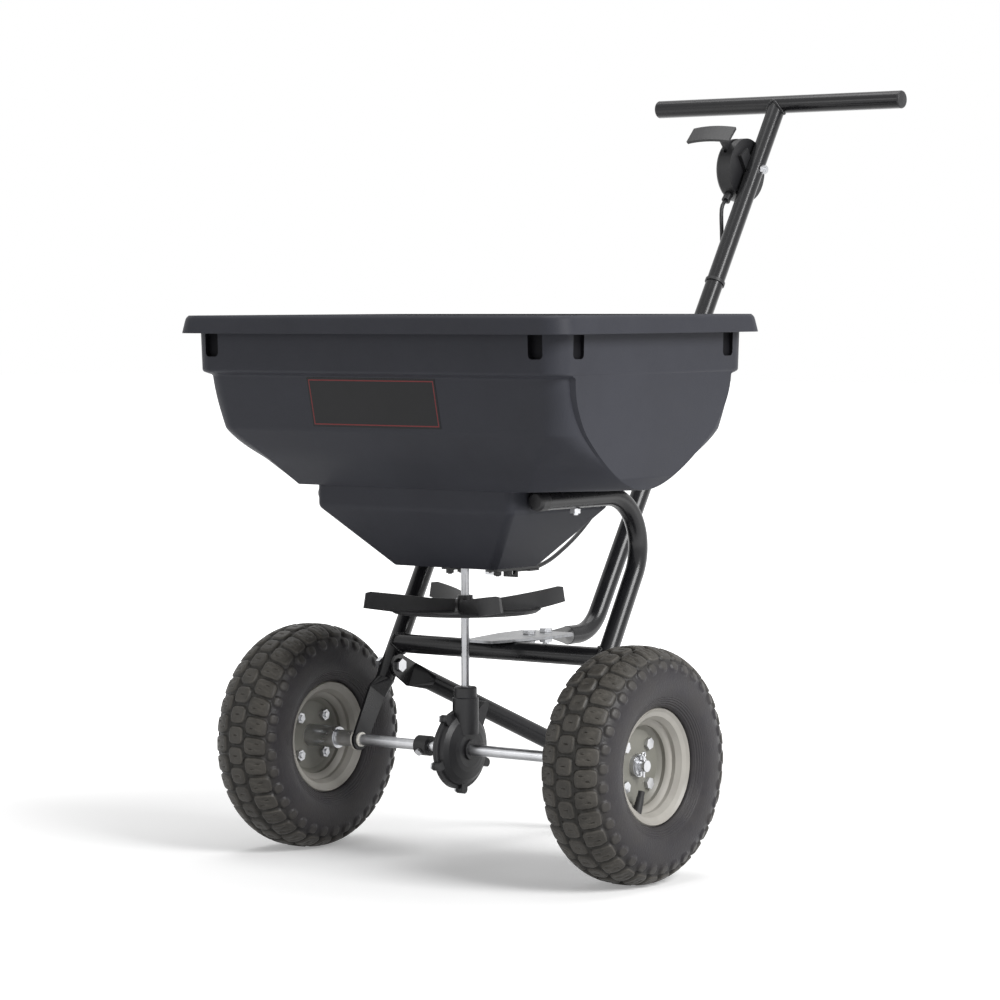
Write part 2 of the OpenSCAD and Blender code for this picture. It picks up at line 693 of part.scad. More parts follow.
module gear_case_left() color("#202022") translate([0, 0, axle_z]) difference() {
    back = gear_back;
    union() {
        x_revolve([[split_x, 0], [split_x, flange_r], [split_x - flange_t, flange_r],
            [split_x - flange_t, case_r], [-back + 0.5, case_r - 0.5], [-back - 4, case_r - 5],
            [-back - 7.5, case_r - 14], [-case_back, 18], [-case_back, 0]]);
        x_rod(-case_back - 8, -case_back + 0.01, case_boss_d / 2);
        case_lugs(split_x - flange_t - lug_proud, split_x - lug_proud);
        intersection() {
            case_tower_solid();
            translate([-2 * tower_r, -2 * tower_r, gear_r])
                cube([2 * tower_r + split_x - 0.02, 4 * tower_r, tower_split_z - gear_r]);
        }
    }
    x_revolve([[split_x + cut, 0], [split_x + cut, case_in_r], [-back + 0.5, case_in_r - 0.5],
        [-back - 1.5, case_in_r - 2.5], [-back - 4.2, case_in_r - 11], [case_wall - case_back, 15],
        [case_wall - case_back, 0]]);
    tower_room();
    x_rod(-80, 0, axle_r + run_gap);
    lug_holes(-60, 0, screw_r + 0.2);
}

module gear_case_right() color("#202022") translate([0, 0, axle_z]) difference() {
    front = case_front;
    union() {
        x_revolve([[split_x + seat_gap, 0], [split_x + seat_gap, flange_r], [split_x + flange_t, flange_r],
            [split_x + flange_t, case_r], [front - 8, case_r - 1.5], [front - 4, case_r - 7],
            [front - 1, case_r - 16], [front, 20], [front, 0]]);
        case_lugs(split_x + seat_gap + lug_proud, split_x + seat_gap + lug_proud + lug_depth);
        difference() {
            case_tower_solid();
            translate([-2 * tower_r, -2 * tower_r, 0])
                cube([2 * tower_r + split_x + seat_gap + 0.02, 4 * tower_r, tower_split_z + seat_gap]);
        }
        x_rod(0, case_boss_end, case_boss_d / 2);
    }
    x_revolve([[split_x - cut, 0], [split_x - cut, case_in_r], [front - 10, case_in_r - 0.5],
        [front - 6.5, case_in_r - 5], [front - 4, 24], [front - case_wall, 16], [front - case_wall, 0]]);
    tower_room();
    translate([0, 0, gear_r]) cylinder(r = shaft_r + run_gap, h = case_tower);
    x_rod(-20, case_boss_end + cut, axle_r + run_gap);
    lug_holes(-60, split_x + seat_gap + lug_proud + lug_depth - lug_floor, screw_r + 0.02);
}

// Screws from the left side; they end blind in the right half's lugs.
module gear_case_screws() color("silver") translate([0, 0, axle_z])
    for (l = lugs) rotate([l[0], 0, 0])
    translate([split_x - flange_t - lug_proud - seat_gap, l[1], 0]) rotate([0, 90, 0]) {
        cylinder(r = screw_r, h = flange_t + seat_gap + 2 * lug_proud + lug_depth - lug_floor);
        translate([0, 0, -2.5]) cylinder(r = 2 * screw_r, h = 2.51);
    }

// ---------- gears ----------

// One straight bevel tooth on a gear whose axis is Z and whose cone apex is the
// origin. Its section at the outer end shrinks toward the apex.
module bevel_tooth(r, h, thick, root_thick, tip_thick, add, ded) {
    face_scale = (cone_len - gear_face) / cone_len;
    axis_in = unit([r, h]);
    out = [axis_in.y, -axis_in.x];
    section = [[-root_thick / 2, -ded], [root_thick / 2, -ded], [thick / 2, 0],
        [tip_thick / 2, add], [-tip_thick / 2, add], [-thick / 2, 0]];
    function at(p, k) = [(r + out.x * p.y) * k, p.x * k, (h + out.y * p.y) * k];
    polyhedron(points = [for (p = section) at(p, 1), for (p = section) at(p, face_scale)],
        faces = [[0, 1, 2, 3, 4, 5], [11, 10, 9, 8, 7, 6],
            for (i = [0 : 5]) let (j = (i + 1) % 6) [j, i, i + 6, j + 6]]);
}

// Bevel gear on the Z axis: pitch radius r at height h, body down to low.
module bevel_gear(teeth, r, h, low, bore) {
    add = 0.85 * gear_module;
    ded = 1.1 * gear_module;
    thick = PI * gear_module / 2 - backlash;
    face_scale = (cone_len - gear_face) / cone_len;
    out = [h, -r] / cone_len;
    rim = [r, h] - out * ded;
    inner = rim * face_scale;
    difference() {
        union() {
            rotate_extrude($fn = 72) polygon([[0, inner.y], inner, rim, [rim.x, low], [0, low]]);
            for (i = [0 : teeth - 1]) rotate(360 * i / teeth)
                bevel_tooth(r, h, thick, thick * 1.12, thick * 0.5, add, ded + 0.3);
        }
        translate([0, 0, -100]) cylinder(r = bore, h = 200);
    }
}

module crown_gear() color("#c9b26a") translate([0, 0, axle_z]) difference() {
    rotate([0, -90, 0]) {
        bevel_gear(gear_teeth, gear_r, pinion_r, gear_back, axle_r + 0.02);
        difference() {
            translate([0, 0, gear_back - 0.01]) cylinder(r = 11, h = gear_hub_back - gear_back + 0.01);
            cylinder(r = axle_r + 0.02, h = 100);
        }
    }
    translate([-gear_back - 4, 0, -30]) cylinder(r = 2.05, h = 60);
}

module crown_gear_pin() color("silver") translate([-gear_back - 4, 0, axle_z - 11])
    cylinder(r = 2, h = 22);

module pinion() color("#c9b26a") translate([0, 0, axle_z]) difference() {
    union() {
        bevel_gear(pinion_teeth, pinion_r, gear_r, gear_r + 5, shaft_r * 0.5);
        translate([0, 0, gear_r + 4.99]) cylinder(r = pinion_r - 1, h = 8);
    }
    translate([0, 0, 10]) cylinder(r = shaft_r * 0.62 + 0.02, h = 60);
}

// ---------- axle and wheels ----------

axle_half = wheel_x + hub_outer_len + axle_end;
cotter_x = wheel_x + hub_outer_len + 5;
drive_pin_x = wheel_x - hub_inner_len + 10;

module axle() color("silver") translate([0, 0, axle_z]) difference() {
    x_rod(-axle_half, axle_half, axle_r);
    for (x = [-cotter_x, cotter_x]) translate([x, 0, -20]) cylinder(r = 1.7, h = 40);
    translate([drive_pin_x, 0, -20]) cylinder(r = 3.05, h = 40);
    translate([-gear_back - 4, 0, -20]) cylinder(r = 2.05, h = 40);
}

module axle_collar() color("#202022") translate([0, 0, axle_z]) difference() {
    x_rod(-collar_out, -collar_out + collar_len, case_boss_d / 2);
    x_rod(-collar_out - cut, -collar_out + collar_len + cut, axle_r + 0.02);
    translate([-collar_out + collar_len / 2, 0, 0]) rotate([120, 0, 0]) cylinder(r = 2.6, h = 40);
}

module collar_screw() color("silver") translate([-collar_out + collar_len / 2, 0, axle_z])
    rotate([120, 0, 0]) translate([0, 0, axle_r + seat_gap]) {
    cylinder(r = 2.5, h = case_boss_d / 2 - axle_r);
    translate([0, 0, case_boss_d / 2 - axle_r]) cylinder(r = 4, h = 3);
}

spacer_in = blade_x + blade_t / 2 + bush_flange + 2 * seat_gap;
spacer_out = wheel_x - hub_inner_len - seat_gap;

module axle_spacers() color("silver") mirror_x() translate([0, 0, axle_z])
    x_ring(spacer_in, spacer_out, axle_r + 3, axle_r + run_gap);

module wheel_washers() color("silver") mirror_x() translate([0, 0, axle_z])
    x_ring(wheel_x + hub_outer_len + seat_gap, wheel_x + hub_outer_len + seat_gap + 1.6, axle_r + 5, axle_r + 0.1);

module cotter_pins() color("silver") mirror_x() translate([cotter_x, 0, axle_z]) {
    translate([0, 0, -axle_r - 6]) cylinder(r = 1.55, h = 2 * axle_r + 10);
    translate([0, 0, axle_r + 6]) rotate([0, 90, 0]) rotate_extrude() translate([2.6, 0]) circle(1.2);
}

module drive_pin() color("silver") translate([drive_pin_x, 0, axle_z - hub_d / 2 - 5]) {
    cylinder(r = 3, h = hub_d + 9);
    translate([0, 0, -2.5]) cylinder(r = 5.5, h = 2.6);
}

// Tyre section: a rounded box, blunt at the crown and slimmer at the beads.
seat_r = rim_d / 2 - 12;
step_r = seat_r - 7;
rim_half_w = rim_w / 2;
tyre_bead_r = seat_r + rim_sheet + seat_gap;
bead_r = rim_d / 2 + rim_sheet - 0.4;
tyre_crown_r = tyre_r - tread_h;
crown_power = 2.6;
bead_power = 2.1;
function signed_pow(v, p) = sign(v) * pow(abs(v), p);
function tyre_point(a, w, r1, r2) =
    let (q = sin(a) > 0 ? crown_power : bead_power)
    [w * signed_pow(cos(a), 2 / q), (r1 + r2) / 2 + (r2 - r1) / 2 * signed_pow(sin(a), 2 / q)];
function tyre_outline(w, r1, r2, steps) = [for (i = [0 : steps - 1]) tyre_point(360 * i / steps, w, r1, r2)];
function crown_at(x) = (tyre_crown_r + tyre_bead_r) / 2 + (tyre_crown_r - tyre_bead_r) / 2
    * pow(1 - pow(abs(x) / (tyre_w / 2), crown_power), 1 / crown_power);

// A tread block between x1 and x2 that spans an angle around the wheel.
module tread_block(x1, x2, span, start) {
    middle = (x1 + x2) / 2;
    rotate([start, 0, 0]) rotate([90, 0, 90]) rotate_extrude(angle = span) polygon([
        [crown_at(x1) - 1.5, x1], [crown_at(x1) + tread_h * 0.9, x1 + 0.6],
        [crown_at(middle) + tread_h, middle],
        [crown_at(x2) + tread_h * 0.9, x2 - 0.6], [crown_at(x2) - 1.5, x2]]);
}

module tyre() {
    pitch = 360 / tread_blocks;
    difference() {
        x_revolve(tyre_outline(tyre_w / 2, tyre_bead_r, tyre_crown_r, 40));
        x_revolve(tyre_outline(tyre_w / 2 - tyre_wall, tyre_bead_r + tyre_wall,
            tyre_crown_r - tyre_wall, 28));
        x_rod(-15, 15, tyre_bead_r + tyre_wall + 6);
        for (side = [-1, 1]) x_revolve([for (p = [
            [rim_half_w - 13, 0], [rim_half_w - 13, tyre_bead_r], [rim_half_w - 8, tyre_bead_r + 5],
            [rim_half_w - 5.5, bead_r], [tyre_w, bead_r], [tyre_w, 0]]) [side * p.x, p.y]]);
    }
    for (i = [0 : tread_blocks - 1]) {
        tread_block(-6.5, 6.5, pitch * 0.62, pitch * i);
        tread_block(9.5, 23, pitch * 0.66, pitch * (i + 0.5));
        tread_block(-23, -9.5, pitch * 0.66, pitch * (i + 0.5));
        tread_block(26, 35, pitch * 0.6, pitch * i);
        tread_block(-35, -26, pitch * 0.6, pitch * i);
    }
}

module tyre_right() color("#2c2a29") translate([wheel_x, 0, axle_z]) tyre();

module tyre_left() color("#2c2a29") translate([-wheel_x, 0, axle_z]) mirror([1, 0, 0]) tyre();

// Closed outline of a sheet of thickness t on the left of a line of points.
function left_normal(a, b) = let (d = unit(b - a)) [-d.y, d.x];
function sheet_offset(p, i, t) =
    let (last = len(p) - 1,
        a = left_normal(p[max(0, i - 1)], p[max(1, i)]),
        b = left_normal(p[min(last - 1, i)], p[min(last, i + 1)]),
        n = unit(a + b))
    p[i] + n * t / (n * a);
function sheet_outline(p, t) =
    concat(p, reversed([for (i = [0 : len(p) - 1]) sheet_offset(p, i, t)]));

// One stamped rim half: side is 1 for the outer half and -1 for the inner one.
module rim_half(side) color("#b5b3ae") mirror([side < 0 ? 1 : 0, 0, 0]) difference() {
    t = rim_sheet;
    x_revolve(sheet_outline([
        [t + 0.05, 2], [t + 0.05, step_r - 5], [t + 4, step_r], [11, step_r],
        [15, seat_r], [rim_half_w - 11, seat_r], [rim_half_w - 5, seat_r + 4],
        [rim_half_w - 2.6, rim_d / 2 - 3], [rim_half_w, rim_d / 2]], t));
    x_rod(-5, 20, hub_d / 2 + 0.02);
    for (i = [0 : rim_bolt_count - 1]) rotate([360 * (i + 0.5) / rim_bolt_count, 0, 0])
        translate([0, rim_bolt_circle / 2, 0]) x_rod(-5, 20, 3.6);
    if (side > 0) rotate([valve_angle, 0, 0]) translate([valve_x, step_r - 8, 0])
        rotate([-90, 0, 0]) cylinder(r = valve_r + 0.1, h = 30);
}

valve_angle = 248;
valve_x = 18;
valve_r = 5;
valve_tip_r = 3.85;
valve_tip = 7;

module on_wheel(side) {
    translate([side * wheel_x, 0, axle_z]) mirror([side < 0 ? 1 : 0, 0, 0]) children();
}

module rim_outer_right() on_wheel(1) rim_half(1);
module rim_inner_right() on_wheel(1) rim_half(-1);
module rim_outer_left() on_wheel(-1) rim_half(1);
module rim_inner_left() on_wheel(-1) rim_half(-1);

module rim_bolts() color("silver") for (i = [0 : rim_bolt_count - 1])
    rotate([360 * (i + 0.5) / rim_bolt_count, 0, 0])
    translate([rim_sheet + 0.05 + seat_gap, rim_bolt_circle / 2, 0]) rotate([0, -90, 0])
    bolt(3.4, 2 * rim_sheet + 0.1 + 2 * seat_gap);

module rim_bolts_right() on_wheel(1) rim_bolts();
module rim_bolts_left() on_wheel(-1) rim_bolts();

module valve() color("#1a1a1a") rotate([valve_angle, 0, 0]) translate([valve_x, seat_r - 16, 0])
    rotate([-90, 0, 0]) {
    cylinder(r1 = valve_r - 0.8, r2 = valve_r, h = 13);
    translate([0, 0, 13]) cylinder(r = valve_r, h = 3 + rim_sheet);
    translate([0, 0, -valve_tip]) cylinder(r = valve_tip_r, h = valve_tip + 0.01);
}

module valve_right() on_wheel(1) valve();
module valve_left() on_wheel(-1) valve();

// Hub tube; bore_r_hub is its bore. The driven hub is drilled for its pin.
module hub(bore) color("silver") x_ring(-hub_inner_len, hub_outer_len, hub_d / 2, bore);

module hub_right() on_wheel(1) difference() {
    hub(axle_r + run_gap);
    translate([drive_pin_x - wheel_x, 0, -30]) cylinder(r = 3.05, h = 60);
}

module hub_left() on_wheel(-1) hub(axle_r + 2.5);

module hub_bushings_left() color("white") on_wheel(-1) {
    x_ring(-hub_inner_len + 0.02, -hub_inner_len + 18, axle_r + 2.5 - 0.02, axle_r + run_gap);
    x_ring(hub_outer_len - 18, hub_outer_len - 0.02, axle_r + 2.5 - 0.02, axle_r + run_gap);
}

// ---------- spinner ----------

shaft_foot = axle_z + axle_r + 4;
shaft_top = floor_z + hopper_wall + 30;
impeller_pin_z = disc_z + 13;
agitator_z = floor_z + hopper_wall + 16;

module upright_shaft() color("silver") difference() {
    union() {
        translate([0, 0, shaft_foot]) cylinder(r = shaft_r * 0.62, h = gear_r + axle_z - shaft_foot + 14);
        translate([0, 0, axle_z + gear_r + 13.3]) cylinder(r = shaft_r, h = shaft_top - axle_z - gear_r - 13.3);
    }
    translate([-20, 0, impeller_pin_z]) x_rod(0, 40, 1.75);
    translate([-20, 0, agitator_z]) x_rod(0, 40, 2.05);
}

module shaft_bushing() color("white") difference() {
    union() {
        translate([0, 0, floor_z - rail_t - seat_gap]) cylinder(r = shaft_bush_r, h = rail_t + seat_gap + hopper_wall + 3);
        translate([0, 0, floor_z + hopper_wall + seat_gap]) cylinder(r = shaft_bush_r + 4, h = 2.7);
    }
    translate([0, 0, 200]) cylinder(r = shaft_r + run_gap, h = 300);
}

fin_rise = 7;
fin_start = 17.75;
fin_top = disc_z + fin_h + fin_rise;

// A fin: a blade that curves back as it runs outward and ends past the disc.
module fin() {
    bow = 150;
    inner = 12;
    chord = fin_r - inner + 4;
    sweep = 2 * asin(chord / 2 / bow);
    thick = 2.4;
    translate([inner, 0, disc_z]) rotate(sweep / 2) translate([0, bow, 0]) rotate(-90)
        rotate_extrude(angle = sweep, $fn = 120) polygon([
            [bow - thick / 2, 0], [bow + thick / 2 + 0.6, 0],
            [bow + thick / 2, fin_top - disc_z + cut], [bow - thick / 2, fin_top - disc_z + cut]]);
}

module impeller() color("#1d1d1e") difference() {
    union() {
        rotate_extrude($fn = 96) polygon([[0, disc_z - 2], [disc_r * 0.5, disc_z - 2.2],
            [disc_r - 4, disc_z - 1], [disc_r, disc_z + 2], [disc_r - 1.2, disc_z + 3.2],
            [disc_r - 6, disc_z + 1.4], [disc_r * 0.5, disc_z + 0.6], [0, disc_z + 0.8]]);
        translate([0, 0, disc_z - 4]) cylinder(r = shaft_r + 4, h = 22);
        intersection() {
            for (i = [0 : fin_count - 1]) rotate(360 * i / fin_count + fin_start) fin();
            rotate_extrude($fn = 96) polygon([[0, disc_z - 3], [disc_r * 0.9, disc_z - 0.5],
                [fin_r, disc_z + fin_rise], [fin_r - 3, fin_top - 1], [fin_r - 10, fin_top],
                [40, disc_z + 15], [0, disc_z + 13]]);
        }
    }
    translate([0, 0, disc_z - 20]) cylinder(r = shaft_r + 0.02, h = 80);
    translate([-30, 0, impeller_pin_z]) x_rod(0, 60, 1.75);
}

module impeller_pin() color("silver") translate([0, 0, impeller_pin_z])
    x_rod(-shaft_r - 7, shaft_r + 7, 1.7);

module agitator() color("silver") translate([0, 0, agitator_z]) {
    bent_rod([[-agitator_r, 0, 16], [-agitator_r + 6, 0, 0], [agitator_r - 6, 0, 0], [agitator_r, 0, 16]], 5, 2);
}

// ---------- outlet gate and its rails ----------

module gate_rails() color("#202022") difference() {
    for (s = [-1, 1]) {
        translate([s > 0 ? rail_x : -rail_x - rail_w, rail_front, gate_z - rail_t])
            cube([rail_w, rail_back - rail_front, floor_z - gate_z + rail_t - seat_gap]);
        translate([s > 0 ? rail_x - 5 : -rail_x - 0.01, rail_front, gate_z - rail_t - seat_gap])
            cube([5.01, rail_back - rail_front, rail_t]);
    }
    for (s = [-1, 1], y = [rail_front + 8, floor_depth - 8])
        translate([s * (rail_x + rail_w / 2), y, gate_z - 20]) cylinder(r = 2.7, h = 40);
}

module gate_rail_bolts() color("#202022") for (s = [-1, 1], y = [rail_front + 8, floor_depth - 8])
    translate([s * (rail_x + rail_w / 2), y, floor_z + hopper_wall + seat_gap]) rotate([180, 0, 0])
    bolt(2.5, hopper_wall + floor_z - gate_z + rail_t + 3 * seat_gap, 2.5, 4, 1);

module outlet_gate() color("gainsboro") {
    translate([-gate_w / 2, gate_front, gate_z]) cube([gate_w, gate_back - gate_front, gate_t]);
    translate([-6, gate_back - 2, gate_z - 9]) difference() {
        cube([12, 2, 9 + gate_t]);
        translate([6, -cut, wire_drop]) rotate([-90, 0, 0]) cylinder(r = 1.1, h = 4);
    }
}

wire_drop = 4;
wire_z = gate_z - 9 + wire_drop;
wire_r = 0.9;
ferrule_y = gate_back + gate_travel + 6;
ferrule_len = gate_travel + 8;

module gate_wire() color("silver") translate([0, gate_back - 5, wire_z]) {
    rotate([-90, 0, 0]) cylinder(r = wire_r, h = ferrule_y - gate_back + 9);
    rotate([-90, 0, 0]) cylinder(r = 2.2, h = 2.5);
}

module cable_bracket() color("#202022") difference() {
    wall_y = rail_back + seat_gap;
    pad_z = gate_z - rail_t - 2 * seat_gap - rail_t;
    union() {
        translate([-rail_x - rail_w, wall_y, pad_z]) cube([2 * (rail_x + rail_w), 2, gate_z - pad_z]);
        translate([-10, wall_y, wire_z - 9]) cube([20, 2, 10]);
        for (s = [-1, 1]) translate([s > 0 ? rail_x : -rail_x - rail_w, rail_back - 16, pad_z])
            cube([rail_w, 16 + seat_gap + 0.01, rail_t]);
    }
    translate([0, wall_y - cut, wire_z]) rotate([-90, 0, 0]) cylinder(r = 4.05, h = 5);
}

// Lower end of the cable: a ferrule that the gate wire slides in.
module cable_ferrule() color("#202022") translate([0, ferrule_y, wire_z]) rotate([-90, 0, 0]) difference() {
    union() {
        cylinder(r = 4, h = ferrule_len);
        translate([0, 0, rail_back + seat_gap + 2.05 - ferrule_y]) hex_head(11, 4);
        translate([0, 0, rail_back + seat_gap - ferrule_y - 4.05]) hex_head(11, 4);
    }
    translate([0, 0, -cut]) cylinder(r = wire_r + run_gap, h = ferrule_len - 1);
}

// Point beside the upper handle at a height: side is its X, and back its
// distance behind the handle's middle line.
function beside_stem(z, side, back) = [side, stem_y(z), z] + stem_back * back;

cable_x = -lever_x;
cable_clear = tube_r + cable_d / 2 + 0.7;
socket_top = [cable_x, dial_y - 18, dial_z - 24];
socket_end = [cable_x, dial_y - 31, dial_z - 39];
cable_start = socket_end + 0.1 * (socket_top - socket_end);
hug_angle = 218;
ferrule_end = [0, ferrule_y + ferrule_len, wire_z];
function hug(angle) = cable_clear * [cos(angle), -sin(angle)];

// The cable's route: down behind the handle, round to its side, then forward
// to the gate in a hanging curve. Drops are heights below the dial.
hug_drops = [103, 123, 163, 203, 243, 276];
hug_end = hug_drops[5];
turn_drop = 13;
turn_angle = 14;
cable_leave = beside_stem(dial_z - hug_end - 3.3 * turn_drop, -cable_clear, -3.5);
cable_pull = [2, -85, -60];
cable_lead = [0, 93, 0];
function drape(t) = pow(1 - t, 3) * cable_leave + 3 * t * pow(1 - t, 2) * (cable_leave + cable_pull)
    + 3 * t * t * (1 - t) * (ferrule_end + cable_lead) + pow(t, 3) * ferrule_end;
cable_route = concat(
    [cable_start, socket_end + 14 * unit(socket_end - socket_top),
        beside_stem(dial_z - 80, cable_x * 0.86, 7)],
    [for (drop = hug_drops) let (h = hug(hug_angle)) beside_stem(dial_z - drop, h.x, h.y)],
    [for (k = [1 : 3]) let (h = hug(hug_angle - turn_angle * k))
        beside_stem(dial_z - hug_end - turn_drop * k, h.x, h.y)],
    [for (t = [0.12 : 0.17 : 0.81]) drape(t)],
    [for (d = [26, 12, 0.3]) ferrule_end + [0, d, d * d * 0.002]]);

// Points of a smooth curve through the route, a few for each stretch.
function spline(p0, p1, p2, p3, t) = 0.5 * (2 * p1 + (p2 - p0) * t
    + (2 * p0 - 5 * p1 + 4 * p2 - p3) * t * t + (3 * p1 - p0 - 3 * p2 + p3) * t * t * t);
cable_steps = 4;
function smooth_route(p) = let (last = len(p) - 1)
    [for (i = [0 : last - 1], s = [0 : cable_steps - 1])
        spline(p[max(0, i - 1)], p[i], p[i + 1], p[min(last, i + 2)], s / cable_steps), p[last]];

module swept_tube(pts, r, sides) {
    last = len(pts) - 1;
    rings = [for (i = [0 : last])
        let (d = unit(pts[min(last, i + 1)] - pts[max(0, i - 1)]),
            u = unit(cross([1, 0, 0], d)), v = cross(d, u))
        [for (k = [0 : sides - 1]) pts[i] + r * (cos(360 * k / sides) * u + sin(360 * k / sides) * v)]];
    polyhedron(points = [for (q = rings) each q], faces = [
        [for (k = [0 : sides - 1]) k],
        for (i = [0 : last - 1], k = [0 : sides - 1]) let (j = (k + 1) % sides) each [
            [i * sides + j, i * sides + k, (i + 1) * sides + j],
            [(i + 1) * sides + k, (i + 1) * sides + j, i * sides + k]],
        [for (k = [sides - 1 : -1 : 0]) last * sides + k]]);
}

module control_cable() color("#1a1a1a") swept_tube(smooth_route(cable_route), cable_d / 2, 12);

tie_drops = [143, 223];
module cable_ties() color("#1a1a1a") for (drop = tie_drops)
    along([0, stem_y(dial_z - drop), dial_z - drop], -stem_dir, [1, 0, 0])
    rotate(90 - hug_angle) linear_extrude(4) difference() {
        union() {
            circle(tube_r + 1.5);
            translate([cable_clear, 0]) circle(cable_d / 2 + 1.5);
            translate([0, -cable_d / 2 - 1.4]) square([cable_clear, cable_d + 2.8]);
        }
        circle(tube_r + 0.08);
        translate([cable_clear, 0]) circle(cable_d / 2 + 0.35);
    }

// ---------- lever and its housing ----------

neck_top = [40.5, 44.2];
neck_root = 8;
neck_angle = 180 - atan2(neck_top.y, neck_top.x);
slot_margin = 15;
cover_h = 8.6;

// A wedge about the lever's axis between two angles from +Y, along X.
module wedge(x1, x2, from, to, r) {
    translate([x1, 0, 0]) rotate([90, 0, 90]) linear_extrude(x2 - x1)
        polygon([[0, 0], for (i = [0 : 4]) let (a = mix(from, to, i / 4)) [r * cos(a), r * sin(a)]]);
}

module dial_base() color("#202022") difference() {
    gap_x = -dial_x - dial_half_t - lever_gap;
    union() {
        translate([0, dial_y, dial_z]) x_rod(gap_x, -dial_x, dial_r);
        rod(socket_top, socket_end, 5.6);
        translate([-dial_x - 3, dial_y, dial_z]) rotate([stem_lean, 0, 0])
            translate([0, -9, -26]) cube([dial_x - 3, 18, 52]);
    }
    translate([0, dial_y, dial_z]) {
        x_rod(gap_x - cut, gap_x + lever_gap, dial_r - 4);
        wedge(gap_x - cut, gap_x + lever_gap, neck_angle - lever_travel - slot_margin,
            neck_angle + slot_margin, dial_r + 20);
        x_rod(-60, 0, pivot_r + 0.1);
    }
    rod([0, stem_y(dial_z - 60), dial_z - 60], [0, stem_y(dial_z + 60), dial_z + 60], tube_r + 0.1);
    rod(socket_end - unit(socket_top - socket_end), cable_start + seat_gap * unit(socket_top - socket_end),
        cable_d / 2 + 0.3);
}

module dial_cover() color("#262628") difference() {
    x1 = -dial_x - dial_half_t - lever_gap - 0.1;
    union() {
        translate([x1, dial_y, dial_z]) rotate([0, -90, 0]) rotate_extrude($fn = 96) polygon([
            [0, 0], [dial_r, 0], [dial_r, cover_h - 4.6], [dial_r - 1.5, cover_h - 2], [dial_r - 5, cover_h - 0.5],
            [dial_r - 9, cover_h], [dial_r - 10.5, cover_h - 1.2], [12, cover_h - 1.2], [11, cover_h], [0, cover_h]]);
        translate([x1 - 0.5, dial_y, dial_z]) x_rod(0, lever_gap - seat_gap, 6);
    }
    translate([-80, dial_y, dial_z]) x_rod(0, 80, pivot_r + 0.1);
    rod(socket_top, socket_end, 5.9);
}

module dial_pivot_bolt() color("silver") {
    x1 = -dial_x - dial_half_t - lever_gap - seat_gap - cover_h;
    translate([x1, dial_y, dial_z]) rotate([0, 90, 0]) bolt(pivot_r, tube_r + seat_gap - x1, 3.5, 5, 2);
}

// The lever: a disc in the housing, a neck and a bowed thumb plate.
tab_tilt = 46;
tab_bow_r = 150;
tab_t = 4;
tab_x = -39;
tab_at = [40, 43.5];
module lever() color("#202022") difference() {
    union() {
        translate([-lever_x - lever_t / 2, dial_y, dial_z]) x_rod(0, lever_t, 26);
        translate([-lever_x - lever_t / 2, dial_y, dial_z]) rotate([neck_angle, 0, 0])
            translate([0, neck_root, -7]) cube([lever_t, norm(neck_top) - neck_root, 14]);
        translate([tab_x, dial_y - tab_at.x, dial_z + tab_at.y]) rotate([tab_tilt, 0, 0]) thumb_tab();
    }
    translate([-80, dial_y, dial_z]) x_rod(0, 80, 6 + run_gap);
}

module thumb_tab() {
    bow = asin(tab_len / 2 / tab_bow_r);
    steps = 12;
    function bow_line(r) = [for (k = [0 : steps]) let (a = mix(-bow, bow, k / steps))
        [r * sin(a), r * cos(a) - tab_bow_r]];
    rotate([90, 0, 0]) linear_extrude(tab_w, center = true)
        polygon(concat(bow_line(tab_bow_r), reversed(bow_line(tab_bow_r + tab_t))));
}

placed() hopper();
placed() side_tube_left();
placed() side_tube_right();
placed() tube_plugs();
placed() crossbar();
placed() stand();
placed() stand_bolts();
placed() handle_lower();
placed() handle_upper();
placed() handle_joint_bolts();
placed() handle_bar();
placed() handle_bar_caps();
placed() handle_plate();
placed() handle_plate_bolts();
placed() hopper_bolts();
placed() axle_bushings();
placed() shaft_bushing();
placed() gear_case_left();
placed() gear_case_right();
placed() gear_case_screws();
placed() gate_rails();
placed() gate_rail_bolts();
placed() cable_bracket();
placed() control_cable();
placed() cable_ferrule();
placed() cable_ties();
placed() dial_base();
placed() dial_cover();
placed() dial_pivot_bolt();
placed() axle();
placed() crown_gear();
placed() crown_gear_pin();
placed() axle_collar();
placed() collar_screw();
placed() axle_spacers();
placed() wheel_washers();
placed() cotter_pins();
placed() drive_pin();
placed() tyre_right();
placed() rim_outer_right();
placed() rim_inner_right();
placed() hub_right();
placed() rim_bolts_right();
placed() valve_right();
placed() tyre_left();
placed() rim_outer_left();
placed() rim_inner_left();
placed() hub_left();
placed() hub_bushings_left();
placed() rim_bolts_left();
placed() valve_left();
placed() upright_shaft();
placed() pinion();
placed() impeller();
placed() impeller_pin();
placed() agitator();
placed() outlet_gate();
placed() gate_wire();
placed() lever();
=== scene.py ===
import json
import math
import bpy
import numpy as np
from mathutils import Matrix, Vector

